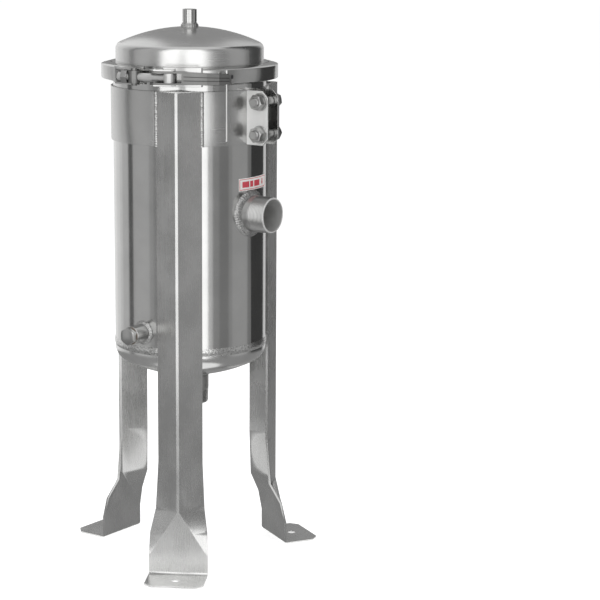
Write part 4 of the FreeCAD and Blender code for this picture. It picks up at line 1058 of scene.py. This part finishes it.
@dataclass
class Latch:
    """The hooks, swing rod, cross bar, lever, its bracket and the locking pin.

    The lever's face carries two pressed lines along its length, coloured dark as painted shade, and a black
    rubber plug sits in its open end as painted shade. The face runs from one plan angle to the other, and
    tapers from its half height to its two tail heights.
    """

    level: float = 659.6
    half: float = 8.3
    tail_top: float = 4.0
    tail_bottom: float = 8.1
    start: float = -56.5
    end: float = -29.0
    radius: float = 134.45
    line_height: float = 0.8
    line_depth: float = 0.8
    line_margin: float = 0.04
    lines: tuple[float, ...] = (0.33, 0.64)
    stop_radius: float = 2.3
    stop_low: float = -1.5
    stop_high: float = 3.7
    stop_reach: float = 129.8
    stop_azimuth: float = -27.9

    def lever_line(self, name: str, up: float) -> bpy.types.Object:
        """One pressed line that follows the tapering face of the lever.

        Args:
            name: The piece's name.
            up: Its place between the face's lower and upper edge, from 0 to 1.

        Returns:
            The line in place.
        """
        deselect()
        bpy.ops.mesh.primitive_grid_add(x_subdivisions=32, y_subdivisions=2, size=1.0)
        piece = named(name)
        apply_modifier(piece, "SOLIDIFY", thickness=1.0, offset=0.0)
        for vertex in piece.data.vertices:
            share = self.line_margin + (vertex.co.x + 0.5) * (1 - 2 * self.line_margin)
            turn = math.radians(self.start + (self.end - self.start) * share)
            top = self.half + (self.tail_top - self.half) * share
            bottom = -self.half + (self.half - self.tail_bottom) * share
            height = self.level + bottom + (top - bottom) * up + vertex.co.y * self.line_height
            reach = (self.radius - 0.1 + vertex.co.z * self.line_depth) * MM
            vertex.co = Vector((reach * math.cos(turn), reach * math.sin(turn), height * MM))
        tidy_skin(piece)
        return piece

    def lever_stop(self) -> bpy.types.Object:
        """A black rubber plug in the lever's open end: painted shade in its dark opening."""
        radius = self.stop_radius
        low = self.level + self.stop_low
        high = self.level + self.stop_high
        piece = lathe("lever_stop", [(0.0, low), (radius - 0.8, low), (radius, low + 0.8),
                                     (radius, high - 0.8), (radius - 0.8, high), (0.0, high)], 28)
        turn = math.radians(self.stop_azimuth)
        lay(piece, Axis.UP, (self.stop_reach * math.cos(turn), self.stop_reach * math.sin(turn), 0.0))
        return piece

    def build(self) -> None:
        """Dress the latch's nodes, and add the lever's lines and the black plug of painted shade in its open
        end.
        """
        # The pressed lines are coloured dark: painted shade in their grooves.
        pressed = [self.lever_line(f"lever_line_{number}", up) for number, up in enumerate(self.lines)]
        finished(joined("lever_lines", pressed), LEVER_GROOVE, "lever")
        # A black plug stands in the lever's open end as painted shade.
        finished(self.lever_stop(), NITRILE, "lever")
        for node in ("latch_hook_bracket", "lever_bracket"):
            dress(node, BUFFED, 0.4)
        # The lever, the cross bar and the rod pin take the dark grey colour: painted shade.
        for node in ("lever_handle", "latch_cross_bar", "rod_pin"):
            dress(node, LEVER_SATIN, 0.4)
        # The swing rod's pale colour is painted light.
        dress("latch_rod", DRAWN_BAR, 0.3)
        for node in ("lever_pivots", "lock_pin"):
            dress(node, BUFFED, 0.25)
        dress("latch_rod_nut", BOLT, 0.3)


@dataclass
class Stand:
    """The split collar with its bolts, the three folded legs and the beads that join them."""

    bolt: float = 12.0
    flats: float = 18.0
    head: float = 7.5
    nut: float = 10.0
    stud: float = 4.0
    pitch: float = 1.75
    thread_depth: float = 0.9
    washer: float = 23.0
    washer_bore: float = 13.0
    washer_thickness: float = 2.0
    ear_outer: float = 13.0
    ear_start: float = 100.0
    reach: float = 125.0
    levels: tuple[float, float] = (625.5, 583.5)
    collar_face: float = 104.65
    collar_low: float = 569.0
    collar_high: float = 640.0
    leg_azimuths: tuple[float, ...] = (-60.0, 60.0, 180.0)
    bead_lean: float = 16.45
    bead_radius: float = 2.3
    bead_row: float = 0.8
    bead_scale: float = 3.1
    bead_crest: float = 0.5
    bead_swing: float = 0.2
    bead_grit: float = 0.16
    bead_seed: int = 40

    def rub_ear(self) -> None:
        """Give the flat outer face of the collar's front ear its own paler finish, a painted highlight."""
        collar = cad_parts["stand_collar"].data
        collar.materials.append(EAR_SHEET.material())
        for face in collar.polygons:
            if face.center.x > self.ear_start * MM and face.center.y < 0 and face.normal.y < -FLAT_ENOUGH:
                face.material_index = len(collar.materials) - 1

    def collar_bead(self, name: str, turn: float, seed: int) -> bpy.types.Object:
        """One upright bead in the corner between a leg's flange and the collar.

        Args:
            name: The piece's name.
            turn: Its plan angle in degrees.
            seed: Start of its unevenness.

        Returns:
            The bead in place.
        """
        uneven = random.Random(seed)
        rows = round((self.collar_high - self.collar_low) / self.bead_row)
        profile = [(0.0, self.collar_low)]
        for row in range(rows + 1):
            height = self.collar_low + (self.collar_high - self.collar_low) * row / rows
            scale = abs(math.sin(math.pi * height / self.bead_scale))
            swing = uneven.uniform(-self.bead_swing, self.bead_swing)
            profile.append((self.bead_radius + self.bead_crest * scale + swing, height))
        profile.append((0.0, self.collar_high))
        piece = lathe(name, profile, 14)
        for vertex in piece.data.vertices:
            vertex.co.x += uneven.uniform(-self.bead_grit, self.bead_grit) * MM
            vertex.co.y += uneven.uniform(-self.bead_grit, self.bead_grit) * MM
        angle = math.radians(turn)
        lay(piece, Axis.UP, (self.collar_face * math.cos(angle), self.collar_face * math.sin(angle), 0.0))
        return piece

    def bolt_piece(self, name: str) -> bpy.types.Object:
        """One bolt, upright: its head below, its threaded end above.

        Args:
            name: The start of its pieces' names.

        Returns:
            The bolt about the Z axis.
        """
        side = self.ear_outer + self.washer_thickness
        end = side + self.nut + self.stud
        radius = self.bolt / 2
        start = side - 4.0
        flank = threaded_profile(radius, start, end - 1.0, self.pitch)
        shank = lathe(f"{name}_shank", [(0.0, -side), (radius, -side)] + flank
                      + [(radius - 1.1, end), (0.0, end)], 40)
        cut_thread(shank, radius, start, end - 1.0, self.pitch, self.thread_depth)
        head = hexagon(f"{name}_head", self.flats, -side - self.head, -side, chamfer_low=True)
        return joined(name, [shank, head])

    def washer_piece(self, name: str, low: float) -> bpy.types.Object:
        """One washer, lying flat.

        Args:
            name: The piece's name.
            low: Height of its lower face.

        Returns:
            The washer about the Z axis.
        """
        outer = self.washer / 2
        inner = self.washer_bore / 2
        high = low + self.washer_thickness
        return lathe(name, [(inner, low), (outer - 0.3, low), (outer, low + 0.3), (outer, high - 0.3),
                            (outer - 0.3, high), (inner, high), (inner, low)], 48)

    def build(self) -> None:
        """Dress the collar and the legs, and make the beads and fasteners."""
        dress("stand_collar", COLLAR_SHEET, 0.4)
        # The ear's face gets the paler colour of a painted highlight.
        self.rub_ear()
        for node in ("leg_front", "leg_right", "leg_back"):
            dress(node, LEG_SHEET, 0.35)
        beads = [self.collar_bead(f"collar_bead_{number}_{side:.0f}", turn + side * self.bead_lean,
                                  self.bead_seed + number)
                 for number, turn in enumerate(self.leg_azimuths) for side in (-1.0, 1.0)]
        finished(joined("collar_beads", beads), COLLAR_WELD, "vessel", ["leg_welds"], 60.0)
        side = self.ear_outer + self.washer_thickness
        bolts, nuts, washers = [], [], []
        for number, level in enumerate(self.levels):
            spin = 12.0 + 21.0 * number
            place = (self.reach, 0.0, level)
            bolt = self.bolt_piece(f"bolt_{number}")
            lay(bolt, Axis.DRAIN, place, spin)
            bolts.append(bolt)
            nut = hexagon(f"nut_{number}", self.flats, side, side + self.nut, chamfer_low=True,
                          bore=self.bolt + 0.1)
            lay(nut, Axis.DRAIN, place, spin + 9.0)
            nuts.append(nut)
            for low in (self.ear_outer, -side):
                disc = self.washer_piece(f"washer_{number}_{low:.0f}", low)
                lay(disc, Axis.DRAIN, place)
                washers.append(disc)
        for name, pieces, node in (("collar_bolt_pair", bolts, "collar_bolts"),
                                   ("collar_nut_pair", nuts, "collar_nuts"),
                                   ("collar_washer_set", washers, "collar_washers")):
            finished(joined(name, pieces), BOLT, "vessel", [node], 30.0)


@dataclass
class Label:
    """The strip of white tape above the inlet, with a red frame, bars and an arrow that say nothing."""

    radius: float = 102.0
    start: float = -13.5
    end: float = 23.4
    low: float = 508.0
    height: float = 16.5
    inset: float = 1.1
    line: float = 0.7
    print_thickness: float = 0.08
    bars: tuple[tuple[float, float], ...] = ((6.0, 19.0), (21.0, 27.5), (30.0, 44.0))
    bar_low: float = 4.2
    bar_high: float = 12.0
    arrow: float = 53.0
    arrow_width: float = 6.4
    arrow_low: float = 4.0
    arrow_waist: float = 7.6
    arrow_high: float = 12.4
    arrow_tip: float = 0.04

    def mark(self, name: str, left: float, right: float, low: float, high: float,
             narrow: float = 1.0) -> bpy.types.Object:
        """One printed patch, drawn flat and laid round the tape.

        Args:
            name: The piece's name.
            left: Its start along the tape, in millimetres.
            right: Its end along the tape.
            low: Its lower edge above the tape's.
            high: Its upper edge.
            narrow: Width of the lower edge against the upper one, for an arrow's head.

        Returns:
            The patch in place.
        """
        deselect()
        steps = max(2, round((right - left) / 2))
        bpy.ops.mesh.primitive_grid_add(x_subdivisions=steps, y_subdivisions=2, size=1.0)
        piece = named(name)
        apply_modifier(piece, "SOLIDIFY", thickness=self.print_thickness, offset=1.0)
        middle = (left + right) / 2
        for vertex in piece.data.vertices:
            share = narrow + (1.0 - narrow) * (vertex.co.y + 0.5)
            along = middle + vertex.co.x * (right - left) * share
            turn = math.radians(self.start) + along / self.radius
            reach = (self.radius + vertex.co.z) * MM
            height = self.low + low + (vertex.co.y + 0.5) * (high - low)
            vertex.co = Vector((reach * math.cos(turn), reach * math.sin(turn), height * MM))
        tidy_skin(piece)
        return piece

    def build(self) -> None:
        """Dress the tape and print its marks."""
        dress("inlet_label", TAPE)
        length = math.radians(self.end - self.start) * self.radius
        near = self.inset
        far = length - self.inset
        top = self.height - self.inset
        edges = ((near, far, near, near + self.line), (near, far, top - self.line, top),
                 (near, near + self.line, near + self.line, top - self.line),
                 (far - self.line, far, near + self.line, top - self.line))
        marks = [self.mark(f"tape_edge_{number}", *edge) for number, edge in enumerate(edges)]
        for number, (left, right) in enumerate(self.bars):
            marks.append(self.mark(f"tape_bar_{number}", left, right, self.bar_low, self.bar_high))
        half = self.arrow_width / 2
        marks.append(self.mark("tape_arrow_shaft", self.arrow - half / 2, self.arrow + half / 2,
                               self.arrow_waist, self.arrow_high))
        marks.append(self.mark("tape_arrow_head", self.arrow - half, self.arrow + half, self.arrow_low,
                               self.arrow_waist, narrow=self.arrow_tip))
        finished(joined("tape_marks", marks), TAPE_PRINT, "vessel")


@dataclass
class Inside:
    """The seat plate, cartridges, seals and what holds them down."""

    finishes: dict[str, Finish] = field(default_factory=lambda: {
        "seat_plate": INNER_PLATE, "hold_down_plate": INNER_PLATE, "cartridge_seats": INNER_PLATE,
        "tie_rod": FASTENER, "tie_washer": FASTENER, "tie_rod_nuts": FASTENER,
        "lower_end_gaskets": NITRILE, "upper_end_gaskets": NITRILE,
        "filter_cartridges": YARN, "cartridge_cores": CORE})

    def build(self) -> None:
        """Dress every piece inside the shell."""
        for node, finish in self.finishes.items():
            dress(node, finish)


# Studio


@dataclass(frozen=True)
class TentPanel:
    """One upright panel of the light tent, between two plan angles and seen only in reflections."""

    start: float
    end: float
    glow: float


@dataclass(frozen=True)
class TableCard:
    """One round level card, placed in metres and seen only in reflections."""

    name: str
    x: float
    y: float
    radius: float
    glow: float


@dataclass(frozen=True)
class SoftLamp:
    """One square soft lamp: its place and sides in metres and its power in watts."""

    name: str
    place: tuple[float, float, float]
    size: float
    watts: float


@dataclass
class Studio:
    """A pale floor, a tent of lit and dark panels over a grey table, soft lamps and the camera.

    The cards lie under the top of the feet, each a little above the one before it.
    """

    tent_radius: float = 1.0
    tent_height: float = 2.4
    tent_sink: float = 0.01
    ceiling_glow: float = 0.74
    ceiling_drop: float = 0.02
    card_low_mm: float = 2.0
    card_step_mm: float = 0.3
    cards: tuple[TableCard, ...] = (
        TableCard("table", 0.0, 0.0, 1.02, 0.3), TableCard("head", 0.12, -0.19, 0.23, 1.1),
        TableCard("foot", 0.15, -0.31, 0.14, 0.6))
    panels: tuple[TentPanel, ...] = (
        TentPanel(-218, -194, 0.95), TentPanel(-194, -180, 0.87), TentPanel(-180, -171, 0.76),
        TentPanel(-171, -154, 0.62), TentPanel(-154, -144, 0.14), TentPanel(-144, -113, 0.53),
        TentPanel(-113, -106, 0.4), TentPanel(-106, -95, 0.3), TentPanel(-95, -67, 1.7),
        TentPanel(-67, -58, 0.85), TentPanel(-58, -27, 1.7), TentPanel(-27, -20, 0.65),
        TentPanel(-20, -10, 0.33), TentPanel(-10, 5, 0.25), TentPanel(5, 11, 0.35), TentPanel(11, 40, 0.43),
        TentPanel(40, 47, 0.26), TentPanel(47, 89, 0.06), TentPanel(89, 112, 0.7), TentPanel(112, 142, 0.32))
    lamps: tuple[SoftLamp, ...] = (
        SoftLamp("key_lamp", (0.6, -2.4, 2.2), 1.6, 22.0), SoftLamp("fill_lamp", (2.4, 0.2, 1.8), 1.6, 17.0),
        SoftLamp("top_lamp", (-0.4, 0.3, 3.0), 2.0, 22.0))
    lamp_aim: float = 0.4
    world_glow: float = 0.45
    floor_size: float = 60.0
    floor_glow: float = 0.62
    lens: float = 126.0
    sensor: float = 36.0
    azimuth: float = 35.0
    pitch: float = 11.05
    roll: float = 0.38
    distance: float = 2.789
    height: float = 0.8944
    side_step: float = 0.14802

    def glow_material(self, name: str, glow: float) -> bpy.types.Material:
        """A material that only glows.

        Args:
            name: The material's name.
            glow: How bright it is, where 1 is white.

        Returns:
            The material.
        """
        material = bpy.data.materials.new(name)
        material.use_nodes = True
        tree = material.node_tree
        tree.nodes.clear()
        light = add_node(tree, "ShaderNodeEmission", {"Color": WHITE, "Strength": glow})
        add_node(tree, "ShaderNodeOutputMaterial", {"Surface": light.outputs["Emission"]})
        return material

    def only_reflected(self, piece: bpy.types.Object) -> None:
        """Let a panel or a card show in reflections and nowhere else.

        Args:
            piece: The panel or card.
        """
        piece.visible_camera = False
        piece.visible_diffuse = False
        piece.visible_transmission = False
        piece.visible_volume_scatter = False
        piece.visible_shadow = False

    def tent(self) -> None:
        """Set the panels, the ceiling and the table's cards round the object."""
        for number, panel in enumerate(self.panels):
            turn = math.radians(panel.start)
            place = (self.tent_radius * math.cos(turn), self.tent_radius * math.sin(turn), -self.tent_sink)
            piece = lone_vertex(f"tent_panel_{number:02d}", place)
            bpy.ops.mesh.extrude_region_move(TRANSFORM_OT_translate={"value": (0, 0, self.tent_height)})
            bpy.ops.mesh.select_all(action="SELECT")
            steps = max(2, round((panel.end - panel.start) / PANEL_FACET_DEG))
            bpy.ops.mesh.spin(steps=steps, angle=-math.radians(panel.end - panel.start), center=(0, 0, 0),
                              axis=(0, 0, 1))
            bpy.ops.object.mode_set(mode="OBJECT")
            piece.data.materials.append(self.glow_material(f"tent_glow_{number:02d}", panel.glow))
            self.only_reflected(piece)
        ceiling = TableCard("ceiling", 0.0, 0.0, self.tent_radius * 1.02, self.ceiling_glow)
        levels = [self.tent_height - self.ceiling_drop]
        levels += [(self.card_low_mm + self.card_step_mm * number) * MM for number in range(len(self.cards))]
        for card, level in zip((ceiling, *self.cards), levels):
            deselect()
            bpy.ops.mesh.primitive_circle_add(vertices=96, radius=card.radius, fill_type="NGON",
                                              location=(card.x, card.y, level))
            piece = named(f"tent_{card.name}")
            piece.data.materials.append(self.glow_material(f"tent_{card.name}_glow", card.glow))
            self.only_reflected(piece)

    def floor(self) -> None:
        """Lay the pale floor. It looks white to the camera and keeps the object's shadow."""
        deselect()
        bpy.ops.mesh.primitive_plane_add(size=self.floor_size, location=(0, 0, 0))
        piece = named("studio_floor")
        material, tree, shader = blank_material("studio_floor_paper")
        shader.inputs["Base Color"].default_value = linear("#F2F2F2")
        shader.inputs["Roughness"].default_value = 0.9
        shader.inputs["Specular IOR Level"].default_value = 0.0
        glow = add_node(tree, "ShaderNodeMath", {0: seen_directly(tree), 1: self.floor_glow},
                        operation="MULTIPLY")
        tree.links.new(glow.outputs["Value"], shader.inputs["Emission Strength"])
        shader.inputs["Emission Color"].default_value = WHITE
        piece.data.materials.append(material)

    def world(self) -> None:
        """White to the camera and in reflections, softer as a light."""
        world = bpy.data.worlds.new("studio_world")
        bpy.context.scene.world = world
        world.use_nodes = True
        tree = world.node_tree
        tree.nodes.clear()
        strength = add_node(tree, "ShaderNodeMapRange", {"Value": seen_directly(tree),
                                                         "To Min": self.world_glow, "To Max": 1.0})
        light = add_node(tree, "ShaderNodeBackground", {"Color": WHITE,
                                                        "Strength": strength.outputs["Result"]})
        add_node(tree, "ShaderNodeOutputWorld", {"Surface": light.outputs["Background"]})

    def hang(self, lamp: SoftLamp) -> None:
        """Hang a soft lamp that points at the vessel's middle.

        Args:
            lamp: The lamp.
        """
        light = bpy.data.lights.new(lamp.name, "AREA")
        light.size = lamp.size
        light.energy = lamp.watts
        piece = bpy.data.objects.new(lamp.name, light)
        bpy.context.scene.collection.objects.link(piece)
        piece.location = lamp.place
        aim = Vector((0.0, 0.0, self.lamp_aim)) - Vector(lamp.place)
        piece.rotation_euler = aim.to_track_quat("-Z", "Y").to_euler()
        piece.visible_glossy = False

    def camera(self) -> None:
        """Set the camera where the photograph was taken from."""
        turn = math.radians(self.azimuth)
        forward = Vector((-math.sin(turn), math.cos(turn), 0.0))
        right = Vector((math.cos(turn), math.sin(turn), 0.0))
        place = -forward * self.distance + right * self.side_step + Vector((0.0, 0.0, self.height))
        down = math.radians(self.pitch)
        look = forward * math.cos(down) - Vector((0.0, 0.0, math.sin(down)))
        data = bpy.data.cameras.new("photo_camera")
        data.lens = self.lens
        data.sensor_width = self.sensor
        data.clip_start = 0.05
        data.clip_end = 200.0
        camera = bpy.data.objects.new("photo_camera", data)
        bpy.context.scene.collection.objects.link(camera)
        aim = look.to_track_quat("-Z", "Y").to_matrix().to_4x4()
        roll = Matrix.Rotation(math.radians(self.roll), 4, "Z")
        camera.matrix_world = Matrix.Translation(place) @ aim @ roll
        bpy.context.scene.camera = camera

    def build(self) -> None:
        """Set up the floor, the light and the camera."""
        bpy.context.scene.view_settings.view_transform = "Standard"
        self.world()
        self.floor()
        self.tent()
        for lamp in self.lamps:
            self.hang(lamp)
        self.camera()


def main() -> None:
    """Build the looks in order."""
    logging.basicConfig(level=logging.INFO, format="%(message)s")
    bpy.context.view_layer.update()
    Studio().build()
    for part in (Vessel(), Nipples(), Drain(), Closure(), ClampRing(), Latch(), Stand(), Label(), Inside()):
        part.build()
    deselect()


if __name__ == "__main__":
    main()
